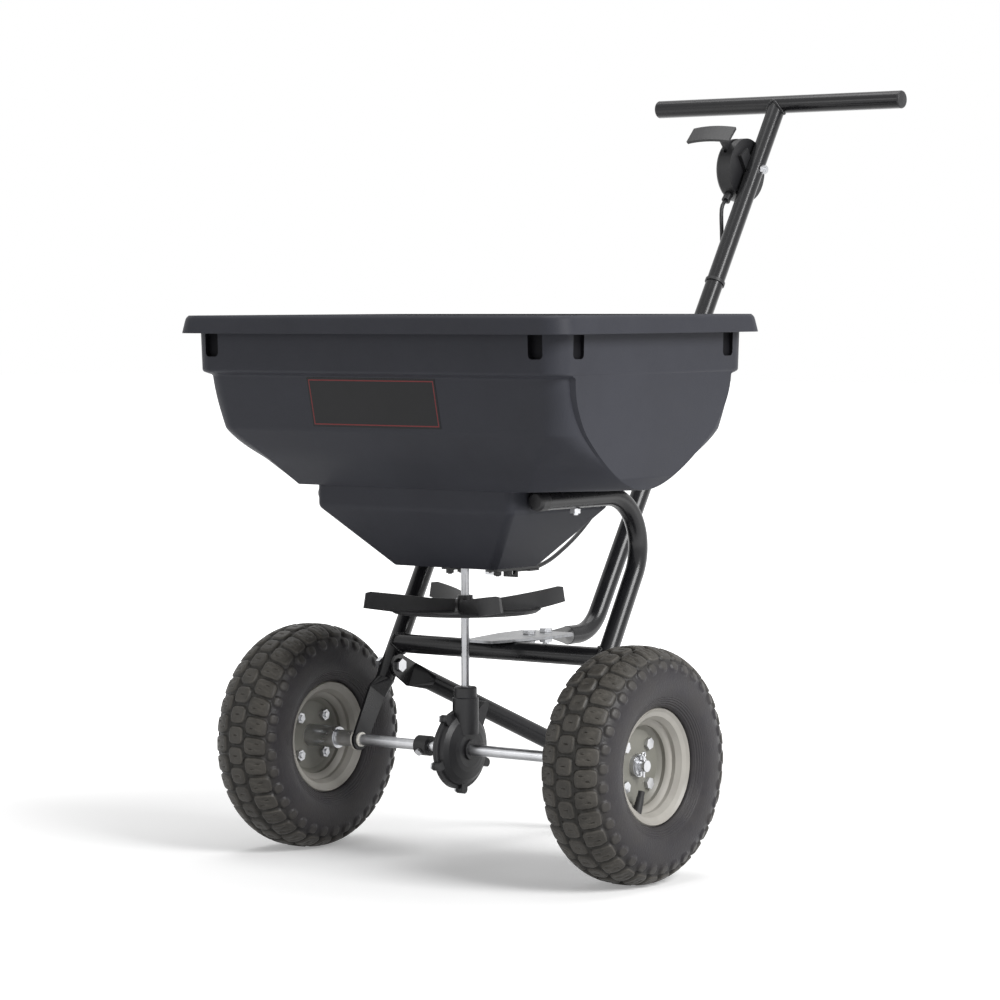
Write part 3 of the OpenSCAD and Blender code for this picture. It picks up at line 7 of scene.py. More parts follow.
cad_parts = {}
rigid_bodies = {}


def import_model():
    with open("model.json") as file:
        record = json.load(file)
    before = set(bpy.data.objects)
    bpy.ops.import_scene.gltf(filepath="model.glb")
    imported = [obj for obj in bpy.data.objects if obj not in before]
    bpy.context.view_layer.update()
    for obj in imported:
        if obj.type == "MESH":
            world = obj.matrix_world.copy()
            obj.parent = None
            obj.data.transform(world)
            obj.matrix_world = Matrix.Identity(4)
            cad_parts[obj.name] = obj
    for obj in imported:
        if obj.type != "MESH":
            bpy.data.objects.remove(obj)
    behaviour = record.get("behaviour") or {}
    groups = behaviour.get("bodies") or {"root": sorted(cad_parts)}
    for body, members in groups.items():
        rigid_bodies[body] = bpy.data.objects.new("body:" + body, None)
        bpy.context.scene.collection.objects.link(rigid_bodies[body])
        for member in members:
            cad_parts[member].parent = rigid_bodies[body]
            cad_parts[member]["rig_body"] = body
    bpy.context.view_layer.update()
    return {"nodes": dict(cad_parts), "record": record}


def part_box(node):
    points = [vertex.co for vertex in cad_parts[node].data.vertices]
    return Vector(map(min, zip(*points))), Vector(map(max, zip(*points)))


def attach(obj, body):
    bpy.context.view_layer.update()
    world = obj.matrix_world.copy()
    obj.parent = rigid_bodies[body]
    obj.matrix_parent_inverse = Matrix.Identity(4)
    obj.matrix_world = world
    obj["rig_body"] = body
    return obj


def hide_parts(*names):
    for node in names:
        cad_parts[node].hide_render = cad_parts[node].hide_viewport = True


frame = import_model()

bl_info = {
    "name": "Push Broadcast Spreader Dressing",
    "version": (1, 0, 0),
    "blender": (4, 5, 0),
    "location": "View3D > Sidebar > Spreader",
    "description": "Dresses the packed spreader: hopper shell, blank label, weld beads, finishes and stage",
    "category": "Object",
}

MM = 0.001
AXLE_LO, AXLE_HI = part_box("axle")
AXLE_Y = (AXLE_LO.y + AXLE_HI.y) / 2
AXLE_Z = (AXLE_LO.z + AXLE_HI.z) / 2
BAR_LO, BAR_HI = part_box("handle_bar")


# ---------- sizes and colours ----------

class SpreaderSizes(bpy.types.PropertyGroup):
    """Sizes of the dressed pieces."""
    hopper_x: bpy.props.FloatProperty(
        name="Hopper half width", description="Half width of the hopper's skirt",
        default=0.275, min=0.2, unit="LENGTH", precision=4)
    hopper_front: bpy.props.FloatProperty(
        name="Hopper front", description="How far the skirt is in front of the axle",
        default=0.188, unit="LENGTH", precision=4)
    hopper_back: bpy.props.FloatProperty(
        name="Hopper back", description="How far the skirt is behind the axle",
        default=0.205, unit="LENGTH", precision=4)
    rim_z: bpy.props.FloatProperty(
        name="Rim height", description="Height of the hopper's rim",
        default=0.6242, unit="LENGTH", precision=4)
    wall: bpy.props.FloatProperty(
        name="Hopper wall", description="Wall thickness of the hopper",
        default=0.004, min=0.002, unit="LENGTH", precision=4)
    corner_steps: bpy.props.IntProperty(
        name="Corner steps", description="Faces round each upright corner of the hopper", default=16, min=4)
    label_w: bpy.props.FloatProperty(
        name="Label width", description="Width of the blank label",
        default=0.182, unit="LENGTH", precision=4)
    label_h: bpy.props.FloatProperty(
        name="Label height", description="Height of the blank label, measured up the wall",
        default=0.056, unit="LENGTH", precision=4)
    label_border: bpy.props.FloatProperty(
        name="Label border", description="Width of the label's printed border line",
        default=0.0013, unit="LENGTH", precision=4)
    weld_r: bpy.props.FloatProperty(
        name="Weld bead radius", description="Radius of a weld bead's section",
        default=0.002, unit="LENGTH", precision=4)


class SpreaderColours(bpy.types.PropertyGroup):
    """Base colours of the finishes, linear."""
    hopper: bpy.props.FloatVectorProperty(
        name="Hopper plastic", description="Charcoal moulded plastic", subtype="COLOR",
        default=(0.034, 0.0353, 0.0435))
    paint: bpy.props.FloatVectorProperty(
        name="Frame paint", description="Gloss black coat of the tubes", subtype="COLOR",
        default=(0.010, 0.010, 0.0115))
    plastic: bpy.props.FloatVectorProperty(
        name="Black plastic", description="Small moulded parts", subtype="COLOR",
        default=(0.013, 0.013, 0.0145))
    zinc: bpy.props.FloatVectorProperty(
        name="Zinc", description="Bright zinc plating", subtype="COLOR", default=(0.62, 0.625, 0.64))
    rubber: bpy.props.FloatVectorProperty(
        name="Tyre rubber", description="Sidewall rubber", subtype="COLOR",
        default=(0.0205, 0.0187, 0.0228))
    tread: bpy.props.FloatVectorProperty(
        name="Tread", description="Dusty rubber of the tread blocks", subtype="COLOR",
        default=(0.052, 0.048, 0.042))
    rim: bpy.props.FloatVectorProperty(
        name="Rim paint", description="Warm light grey wheel paint", subtype="COLOR",
        default=(0.36, 0.345, 0.315))
    border: bpy.props.FloatVectorProperty(
        name="Label border", description="Printed border line of the blank label", subtype="COLOR",
        default=(0.19, 0.028, 0.030))


# ---------- mesh tools ----------

def world(points):
    """Turns points given in millimetres from the axle's upright plane into metres in the frame."""
    out = np.asarray(points, float) * MM
    out[..., 1] += AXLE_Y
    return out


def middle(lo, hi):
    """The middle of a CAD node's box, in millimetres from the axle's upright plane."""
    return np.array([(lo.x + hi.x) / 2, (lo.y + hi.y) / 2 - AXLE_Y, (lo.z + hi.z) / 2]) / MM


def grid_faces(rows, cols, wrap_rows=False, wrap_cols=True):
    """Quads of a rows x cols grid of vertices; each joins (i, j), (i, j+1), (i+1, j+1), (i+1, j)."""
    i = np.arange(rows if wrap_rows else rows - 1)[:, None]
    j = np.arange(cols if wrap_cols else cols - 1)[None, :]
    i2, j2 = (i + 1) % rows, (j + 1) % cols
    quads = np.stack([i * cols + j, i * cols + j2, i2 * cols + j2, i2 * cols + j], axis=-1)
    return quads.reshape(-1, 4)


def fan(pole, ring, flip):
    """Triangles from a pole to a closed ring of vertex numbers."""
    following = np.roll(ring, -1)
    poles = np.full_like(ring, pole)
    return np.stack([poles, following, ring] if flip else [poles, ring, following], axis=1)


def capped(rings):
    """A closed solid: rings of points joined by quads, with each end ring closed by a fan to its mean."""
    rows, cols = rings.shape[:2]
    points = np.vstack([rings.reshape(-1, 3), rings[0].mean(0), rings[-1].mean(0)])
    first = np.arange(cols)
    last = first + (rows - 1) * cols
    return points, [grid_faces(rows, cols), fan(rows * cols, first, True), fan(rows * cols + 1, last, False)]


def swept(path, radius, sides, hint):
    """A tube along a closed path: at each point a circle of that point's radius, drawn with the
    cosine along the side, which is square to the hint, and the sine along the up direction."""
    ahead = np.roll(path, -1, 0) - np.roll(path, 1, 0)
    ahead /= np.linalg.norm(ahead, axis=1, keepdims=True)
    side = np.cross(hint, ahead)
    side /= np.linalg.norm(side, axis=1, keepdims=True)
    up = np.cross(ahead, side)
    a = np.linspace(0, 2 * math.pi, sides, endpoint=False)[None, :, None]
    ring = path[:, None] + radius[:, None, None] * (np.cos(a) * side[:, None] + np.sin(a) * up[:, None])
    return ring.reshape(-1, 3), [grid_faces(len(path), sides, wrap_rows=True)]


def joined(name, parts, finish):
    """One mesh from parts, each of points in millimetres and arrays of faces that number them."""
    points, faces, start = [], [], 0
    for part_points, arrays in parts:
        points.append(part_points)
        for array in arrays:
            faces.extend((array + start).tolist())
        start += len(part_points)
    mesh = bpy.data.meshes.new(name)
    mesh.from_pydata(world(np.vstack(points)).tolist(), [], faces)
    if mesh.validate():
        raise RuntimeError(f"{name}: its faces are not sound")
    mesh.materials.append(finish)
    return mesh


def placed(name, data):
    """A new object that is linked to the scene."""
    thing = bpy.data.objects.new(name, data)
    bpy.context.scene.collection.objects.link(thing)
    return thing


def make_piece(name, parts, finish, body, sharp=35.0):
    """Joins parts in one mesh, shades it smooth and lets it ride on a body."""
    piece = placed(name, joined(name, parts, finish))
    shade(piece, sharp)
    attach(piece, body)
    return piece


def shade(piece, sharp):
    """Smooth shading with edges sharper than an angle kept crisp."""
    with bpy.context.temp_override(
            object=piece, active_object=piece, selected_objects=[piece], selected_editable_objects=[piece]):
        bpy.ops.object.shade_smooth_by_angle(angle=math.radians(sharp), keep_sharp_edges=False)


# ---------- node tools ----------

VECTOR, COLOUR, FLOAT = "NodeSocketVector", "NodeSocketColor", "NodeSocketFloat"
# Where a Mix node keeps its sockets for colours.
MIX_FACTOR, MIX_A, MIX_B, MIX_RESULT = 0, 6, 7, 2


def rgba(color):
    """A colour with full opacity."""
    return (color[0], color[1], color[2], 1.0)


def scaled(color, gain, lift=0.0):
    """A colour times a gain, plus a lift."""
    return tuple(v * gain + lift for v in color)


def feed(tree, socket, value):
    """Links a socket to another one, or sets its plain value."""
    if isinstance(value, bpy.types.NodeSocket):
        tree.links.new(value, socket)
    else:
        socket.default_value = value


def add(tree, kind, sockets=None, **settings):
    """Adds a node, sets its settings, and fills or links its sockets."""
    node = tree.nodes.new(kind)
    for key, value in settings.items():
        setattr(node, key, value)
    for key, value in (sockets or {}).items():
        feed(tree, node.inputs[key], value)
    return node


def math_node(tree, op, a, b=0.0, c=0.0, clamp=False):
    """The result of one step of arithmetic on plain values or sockets."""
    return add(tree, "ShaderNodeMath", {0: a, 1: b, 2: c}, operation=op, use_clamp=clamp).outputs[0]


def times(tree, a, b, clamp=False):
    """a times b."""
    return math_node(tree, "MULTIPLY", a, b, clamp=clamp)


def raised(tree, value, gain, base):
    """The base plus the value times the gain."""
    return math_node(tree, "MULTIPLY_ADD", value, gain, base)


def blend(tree, factor, a, b):
    """Colour a at factor 0 and colour b at factor 1."""
    node = add(tree, "ShaderNodeMix", {MIX_FACTOR: factor}, data_type="RGBA")
    for key, color in ((MIX_A, a), (MIX_B, b)):
        feed(tree, node.inputs[key], color if isinstance(color, bpy.types.NodeSocket) else rgba(color))
    return node.outputs[MIX_RESULT]


def remap(tree, value, lo, hi, out_lo=0.0, out_hi=1.0, **settings):
    """The value's place between lo and hi, set out between out_lo and out_hi."""
    return add(tree, "ShaderNodeMapRange", {"Value": value, "From Min": lo, "From Max": hi,
                                            "To Min": out_lo, "To Max": out_hi}, **settings).outputs[0]


def band(tree, value, start, full, fade, end):
    """1 from full to fade, and down to 0 at start and end."""
    return times(tree, remap(tree, value, start, full), remap(tree, value, end, fade))


def noise(tree, vector, scale, detail, roughness):
    """Cloudy noise round one half."""
    return add(tree, "ShaderNodeTexNoise", {"Vector": vector, "Scale": scale, "Detail": detail,
                                            "Roughness": roughness}).outputs["Fac"]


def bump(tree, height, distance, strength, under=None):
    """A normal tilted by the slope of a height, over another normal where one is given."""
    node = add(tree, "ShaderNodeBump", {"Height": height, "Distance": distance, "Strength": strength})
    if under is not None:
        tree.links.new(under, node.inputs["Normal"])
    return node.outputs[0]


def effect(name, inputs, outputs):
    """Starts a shader node group with named inputs and outputs."""
    tree = bpy.data.node_groups.new(name, "ShaderNodeTree")
    for way, sockets in (("INPUT", inputs), ("OUTPUT", outputs)):
        for label, kind in sockets.items():
            tree.interface.new_socket(name=label, in_out=way, socket_type=kind)
    return tree, tree.nodes.new("NodeGroupInput").outputs, tree.nodes.new("NodeGroupOutput").inputs


def grain_effect():
    """Moulded grain: fine pits from a small noise, and slow patches from a large one."""
    t, given, out = effect("moulded_grain", {"Vector": VECTOR, "Scale": FLOAT, "Patch Scale": FLOAT},
                           {"Height": FLOAT, "Patch": FLOAT})
    t.links.new(noise(t, given["Vector"], given["Scale"], 2.0, 0.6), out["Height"])
    slow = noise(t, given["Vector"], given["Patch Scale"], 4.0, 0.55)
    t.links.new(remap(t, slow, 0.3, 0.7), out["Patch"])
    return t


def dust_effect():
    """Dust: more on faces that look up, broken by noise; it lightens the colour and dulls the gloss."""
    side_share, dulling = 0.25, 0.35
    t, given, out = effect(
        "dust_veil", {"Vector": VECTOR, "Color": COLOUR, "Dust": COLOUR, "Amount": FLOAT, "Scale": FLOAT,
                      "Roughness": FLOAT}, {"Color": COLOUR, "Roughness": FLOAT})
    facing = add(t, "ShaderNodeNewGeometry").outputs["Normal"]
    up = add(t, "ShaderNodeSeparateXYZ", {"Vector": facing}).outputs["Z"]
    lean = remap(t, up, -0.2, 1.0, side_share, 1.0)
    spots = remap(t, noise(t, given["Vector"], given["Scale"], 6.0, 0.65), 0.38, 0.72)
    mask = times(t, times(t, lean, spots), given["Amount"], clamp=True)
    t.links.new(blend(t, mask, given["Color"], given["Dust"]), out["Color"])
    t.links.new(raised(t, mask, dulling, given["Roughness"]), out["Roughness"])
    return t


def scuff_effect():
    """Fine scuffs: noise drawn out along one axis, kept only at its crests."""
    crest_level, crest_gain = 0.74, 9.0
    t, given, out = effect("fine_scuffs", {"Vector": VECTOR, "Scale": FLOAT, "Reach": FLOAT}, {"Mask": FLOAT})
    drawn = add(t, "ShaderNodeMapping", {"Vector": given["Vector"], "Rotation": (0.5, 0.3, 0.2),
                                         "Scale": (1.0, 0.06, 0.35)}).outputs[0]
    level = math_node(t, "SUBTRACT", crest_level, given["Reach"])
    crest = math_node(t, "SUBTRACT", noise(t, drawn, given["Scale"], 3.0, 0.7), level)
    t.links.new(times(t, crest, crest_gain, clamp=True), out["Mask"])
    return t


def wheel_effect():
    """Distance from the wheels' axis: the root of y squared plus z squared, from Object coordinates."""
    t, given, out = effect("about_axle", {"Vector": VECTOR}, {"Radius": FLOAT})
    shift = add(t, "ShaderNodeMapping", {"Vector": given["Vector"], "Location": (0, -AXLE_Y, -AXLE_Z)})
    xyz = add(t, "ShaderNodeSeparateXYZ", {"Vector": shift.outputs[0]})
    y, z = xyz.outputs["Y"], xyz.outputs["Z"]
    t.links.new(math_node(t, "SQRT", raised(t, y, y, times(t, z, z))), out["Radius"])
    return t


EFFECTS = {}


def use(tree, name, sockets):
    """Places a shared effect in a material and gives its outputs."""
    return add(tree, "ShaderNodeGroup", sockets, node_tree=EFFECTS[name]).outputs


def grain(tree, coords, scale, patch_scale):
    """The shared grain: its height, and its slow patches from 0 to 1."""
    out = use(tree, "moulded_grain", {"Vector": coords, "Scale": scale, "Patch Scale": patch_scale})
    return out["Height"], out["Patch"]


def scuffs(tree, coords, scale, reach):
    """The shared scuffs' mask."""
    return use(tree, "fine_scuffs", {"Vector": coords, "Scale": scale, "Reach": reach})["Mask"]


def dusted(tree, coords, color, rough, dust, amount, scale):
    """A colour and a roughness under the shared dust."""
    out = use(tree, "dust_veil", {"Vector": coords, "Color": color, "Dust": rgba(dust), "Amount": amount,
                                  "Scale": scale, "Roughness": rough})
    return out["Color"], out["Roughness"]


def start_finish(name, metallic=0.0, specular=0.5, coat=0.0, coat_rough=0.05):
    """A new material with its shader's sockets and Object coordinates."""
    material = bpy.data.materials.new(name)
    material.use_nodes = True
    tree = material.node_tree
    sockets = tree.nodes["Principled BSDF"].inputs
    sockets["Metallic"].default_value = metallic
    sockets["Specular IOR Level"].default_value = specular
    sockets["Coat Weight"].default_value = coat
    sockets["Coat Roughness"].default_value = coat_rough
    return material, tree, sockets, tree.nodes.new("ShaderNodeTexCoord").outputs["Object"]


def connect(tree, sockets, color, rough, normal):
    """Links what varies over the surface to the shader."""
    for key, value in (("Base Color", color), ("Roughness", rough), ("Normal", normal)):
        tree.links.new(value, sockets[key])


# ---------- finishes ----------

def moulded_finish(name, color, rough, grain_scale, depth, dust, specular):
    """Moulded plastic: grain in the bump, slow patches in colour and gloss, scuffs and a little dust."""
    m, t, sockets, co = start_finish(name, specular=specular)
    height, patch = grain(t, co, grain_scale, 9.0)
    dark, light, wear_and_highlight = scaled(color, 0.9), scaled(color, 1.12), scaled(color, 2.2, 0.01)
    rub_share, patch_rough, strength = 0.3, 0.06, 0.5
    rubbing = times(t, scuffs(t, co, 70.0, 0.02), rub_share)
    worn = blend(t, rubbing, blend(t, patch, dark, light), wear_and_highlight)
    veil = dusted(t, co, worn, raised(t, patch, patch_rough, rough), (0.16, 0.155, 0.15), dust, 45.0)
    connect(t, sockets, *veil, bump(t, height, depth, strength))
    return m


def paint_finish(name, color):
    """Gloss powder coat: orange-peel bump, faint gloss patches, a few scuffs and dust."""
    m, t, sockets, co = start_finish(name, specular=0.26, coat=0.16, coat_rough=0.08)
    height, patch = grain(t, co, 420.0, 16.0)
    rub_share, wear_and_highlight, patch_rough, rough = 0.35, (0.07, 0.07, 0.072), 0.05, 0.24
    tone = blend(t, times(t, scuffs(t, co, 120.0, 0.015), rub_share), color, wear_and_highlight)
    veil = dusted(t, co, tone, raised(t, patch, patch_rough, rough), (0.15, 0.145, 0.14), 0.05, 60.0)
    connect(t, sockets, *veil, bump(t, height, 0.0001, 0.12))
    return m


def zinc_finish(name, color):
    """Zinc plating: pale spangle patches, a cool tint that wanders, drawn lines and dull spots."""
    m, t, sockets, co = start_finish(name, metallic=1.0)
    cells = add(t, "ShaderNodeTexVoronoi", {"Vector": co, "Scale": 260.0})
    speck = add(t, "ShaderNodeSeparateColor", {"Color": cells.outputs["Color"]}).outputs[0]
    height, patch = grain(t, co, 900.0, 38.0)
    speck_share, speck_tone = 0.22, (0.42, 0.44, 0.48)
    patch_rough, scuff_rough, rough = 0.12, 0.18, 0.26
    light = tuple(min(1.0, v) for v in scaled(color, 1.12))
    tint = blend(t, patch, scaled(color, 0.8), light)
    tone = blend(t, times(t, speck, speck_share), tint, speck_tone)
    dull = raised(t, scuffs(t, co, 260.0, 0.08), scuff_rough, raised(t, patch, patch_rough, rough))
    connect(t, sockets, tone, dull, bump(t, height, 0.0001, 0.25))
    return m


def tyre_finish(name, side, tread):
    """Rubber: the lug attribute darkens the grooves as painted shade and lightens the blocks' upper
    flanks as a painted highlight, and the block tops are dusty; the sidewall is smooth, with fine
    moulded rings near the bead."""
    m, t, sockets, co = start_finish(name, specular=0.27)
    lug = add(t, "ShaderNodeAttribute", attribute_name="lug").outputs["Fac"]
    radius = use(t, "about_axle", {"Vector": co})["Radius"]
    height, patch = grain(t, co, 420.0, 30.0)
    # The darkest of these is painted shade for the grooves, and the edge colour is a painted highlight.
    groove_shade, edge, film, stain = (scaled(tread, gain) for gain in (0.12, 2.0, 1.3, 0.45))
    edge_highlight_share, film_share, stain_share = 0.55, 0.3, 0.55
    outer = remap(t, radius, 0.108, 0.124)
    # Painted shade: the grooves fall to the darkest colour.
    base = blend(t, outer, side, blend(t, remap(t, lug, 0.25, 0.95), groove_shade, tread))
    # Painted highlight: the edge colour lies on the blocks' upper flanks.
    wear_and_highlight = blend(t, times(t, band(t, lug, 0.45, 0.85, 0.9, 1.0), edge_highlight_share), base, edge)
    tone = blend(t, times(t, patch, film_share), wear_and_highlight, film)
    stains = times(t, remap(t, noise(t, co, 34.0, 3.0, 0.6), 0.42, 0.62), times(t, outer, stain_share))
    tread_dust, wall_dust, patch_rough, rough = 0.14, 0.05, 0.16, 0.36
    veil = dusted(t, co, blend(t, stains, tone, stain), raised(t, patch, patch_rough, rough),
                  (0.20, 0.185, 0.16), raised(t, outer, tread_dust, wall_dust), 85.0)
    ring_turns = 2600.0
    ripples = math_node(t, "SINE", times(t, radius, ring_turns))
    rings = times(t, ripples, band(t, radius, 0.0665, 0.069, 0.077, 0.0795))
    connect(t, sockets, *veil, bump(t, height, 0.0006, 0.6, bump(t, rings, 0.0004, 0.6)))
    return m


def rim_finish(name, color):
    """Wheel paint: soft gloss, a darker band over the steps and round the bolts, and painted shade that
    darkens the recessed hub.
    """
    m, t, sockets, co = start_finish(name, specular=0.34)
    radius = use(t, "about_axle", {"Vector": co})["Radius"]
    height, patch = grain(t, co, 380.0, 30.0)
    # The first colour darkens a band over the steps, and the second colour is painted shade for the recessed
    # hub.
    step_tone, step_share, hub_shade, hub_shade_share = (0.12, 0.105, 0.09), 0.4, (0.125, 0.126, 0.104), 0.72
    # A darker band over the steps, broken by the slow patches.
    step = band(t, radius, 0.038, 0.0435, 0.045, 0.0505)
    step_band = times(t, raised(t, patch, 0.6, 0.4), step)
    tone = blend(t, patch, scaled(color, 0.9), scaled(color, 1.06))
    darkened = blend(t, times(t, step_band, step_share), tone, step_tone)
    # Painted shade: the recessed hub darkens towards the axle.
    darkened = blend(t, remap(t, radius, 0.049, 0.041, 0.0, hub_shade_share), darkened, hub_shade)
    patch_rough, rough = 0.1, 0.34
    veil = dusted(t, co, darkened, raised(t, patch, patch_rough, rough), (0.3, 0.28, 0.25), 0.15, 90.0)
    connect(t, sockets, *veil, bump(t, height, 0.00025, 0.3))
    return m


# How far the label's border is set in from its edge, in millimetres.
BORDER_INSET = 2.2


def label_finish(name, size, border, line):
    """Blank label: near-black gloss film with a thin printed border set in from its edge. The border
    is where the least distance to an edge is between the inset and the inset plus its width."""
    m, t, sockets, co = start_finish(name, specular=0.16)
    uv = add(t, "ShaderNodeUVMap").outputs[0]
    xy = add(t, "ShaderNodeSeparateXYZ", {"Vector": uv}).outputs
    gaps = []
    for axis, length in zip("XY", size):
        off_middle = math_node(t, "ABSOLUTE", math_node(t, "SUBTRACT", xy[axis], 0.5))
        gaps.append(times(t, math_node(t, "SUBTRACT", 0.5, off_middle), length))
    edge = math_node(t, "MINIMUM", *gaps)
    printed = times(t, math_node(t, "GREATER_THAN", edge, BORDER_INSET),
                    math_node(t, "LESS_THAN", edge, BORDER_INSET + border))
    height, patch = grain(t, co, 300.0, 18.0)
    patch_rough, rough = 0.06, 0.3
    film = blend(t, patch, (0.009, 0.009, 0.010), (0.013, 0.013, 0.0145))
    connect(t, sockets, blend(t, printed, film, line), raised(t, patch, patch_rough, rough),
            bump(t, height, 0.00005, 0.2))
    return m


FINISHES = {}
# Colours of the small parts, and the near-black that is painted shade on the pockets' and the
# outlet's walls; how much darker the shaft's and the plate's zinc are than the bolts', as painted
# shade under the hopper; and the nodes whose finish isn't their slot's.
NYLON, VALVE, POCKET_SHADE = (0.78, 0.76, 0.7), (0.012, 0.012, 0.013), (0.006, 0.006, 0.0075)
# Painted shade: the shaft and the plate lie under the hopper, so their zinc is a darker copy.
SHAFT_SHADE_GAIN, PLATE_SHADE_GAIN = 0.6, 0.34
NODE_FINISHES = {"handle_plate": "plate_zinc_shaded", "upright_shaft": "shaft_zinc_shaded"}


class SPREADER_OT_finishes(bpy.types.Operator):
    """Build the finishes and put one on every CAD node"""
    bl_idname = "spreader.finishes"
    bl_label = "Finishes"

    def execute(self, context):
        c = context.scene.spreader_colours
        for name, build in (("moulded_grain", grain_effect), ("dust_veil", dust_effect),
                            ("fine_scuffs", scuff_effect), ("about_axle", wheel_effect)):
            EFFECTS[name] = build()
        # Colour, roughness, grain scale, grain depth in metres, dust and specular level.
        moulded = {
            "hopper_plastic": (c.hopper, 0.48, 650.0, 0.0003, 0.05, 0.14),
            "black_plastic": (c.plastic, 0.4, 800.0, 0.0002, 0.06, 0.4),
            "cable_sheath": (c.plastic, 0.34, 1200.0, 0.0001, 0.05, 0.4),
            # Painted shade: near-black plastic on the walls that the cut leaves in the pockets and the
            # outlet.
            "pocket_shade": (POCKET_SHADE, 0.6, 650.0, 0.0003, 0.0, 0.08),
            "nylon": (NYLON, 0.4, 700.0, 0.0002, 0.1, 0.4),
            "valve_rubber": (VALVE, 0.5, 900.0, 0.0002, 0.06, 0.4),
        }
        for name, look in moulded.items():
            FINISHES[name] = moulded_finish(name, *look)
        # The shaft's and the plate's copies are darker as painted shade.
        for name, gain in (("zinc", 1.0), ("shaft_zinc_shaded", SHAFT_SHADE_GAIN), ("plate_zinc_shaded", PLATE_SHADE_GAIN)):
            FINISHES[name] = zinc_finish(name, scaled(c.zinc, gain))
        FINISHES["frame_paint"] = paint_finish("frame_paint", c.paint)
        FINISHES["tyre_rubber"] = tyre_finish("tyre_rubber", c.rubber, c.tread)
        FINISHES["rim_paint"] = rim_finish("rim_paint", c.rim)
        for part in frame["record"]["subparts"]:
            materials = frame["nodes"][part["node"]].data.materials
            materials.clear()
            materials.append(FINISHES[NODE_FINISHES.get(part["node"], part["material_slot"])])
        return {"FINISHED"}


# ---------- hopper ----------

# Lengths are in millimetres. Heights of the collar's foot, the crease, the ledge, the well's lower
# edge and the hopper's floor, above the ground.
COLLAR_Z, CREASE_Z, LEDGE_Z, BAND_Z, FLOOR_Z = 561.0, 496.0, 432.4, 407.9, 341.0
# How far down from the rim its top roll, its underside and its skirt reach.
ROLL_H, UNDER_H, SKIRT_H = 3.0, 5.0, 20.0
# How far the collar's wall and its foot lie inside the skirt.
COLLAR_INSET, COLLAR_FOOT = 16.5, 18.0
# How far each form lies inside the one above it, along x and along y, and how far the body's top
# row stays below the collar's foot.
BODY_IN, CREASE_IN, LEDGE_IN, WELL_IN_Y = (5.5, 10.0), (3.0, 13.5), (10.0, 44.5), 19.5
BODY_GAP = 4.0
# Half widths of the well and the floor, and the floor's half depth.
WELL_X, FLOOR_X, FLOOR_DEPTH = 139.0, 73.0, 44.5
# How far the middles lie behind the collar's middle, and how far they lie behind the axle.
BODY_BACK, LEDGE_BACK = 2.0, 5.5
WELL_MID, FLOOR_MID = -4.0, 1.5
# The side panels: their step, their lean, how far their ends stay inside the body's depth at the
# collar and at the crease, and the power by which they shorten on the slope.
PANEL_STEP, PANEL_LEAN, PANEL_END, PANEL_END_LOW, PANEL_POWER = 2.5, 0.05, 21.0, 34.5, 0.55
# The corners' runs, the flat that they leave beside the well, and their least run and side.
BODY_RUN, CREASE_RUN, LEDGE_FLAT, LEAST_RUN, LEAST_SIDE = 26.0, 28.0, 24.0, 6.0, 2.0
# The corners' power, from a round to a slant, and how soon the slant is full.
ROUND, SLANT, SLANT_RATE = 2.0, 1.04, 1.6
SLOPE_ROWS, SLOPE_POWER, BODY_ROWS = 23, 1.25, 9
# A rounding's largest share of the way to the next level, and where the levels outside it stand.
MOST_SHARE, OUTSIDE = 0.42, 1.12
# The angle in degrees past which the shell's edges stay crisp.
SHELL_SHARP = 40.0


def mix(a, b, t):
    """From a at 0 to b at 1 in a straight line."""
    return a + (b - a) * t


def ease(x):
    """0 up to 0, 1 from 1 on, and between them three times the square less twice the cube."""
    x = np.clip(x, 0, 1)
    return x * x * (3 - 2 * x)


def level(z, half_x, half_y, mid, run, rounding, run_y=None):
    """One row of a form: height, half width, middle y, half depth, the corner's run along x and y,
    the corner's power, the step that the side panels stand proud, and the rounding at the level."""
    return [z, half_x, mid, half_y, run, run if run_y is None else run_y, ROUND, 0, rounding]


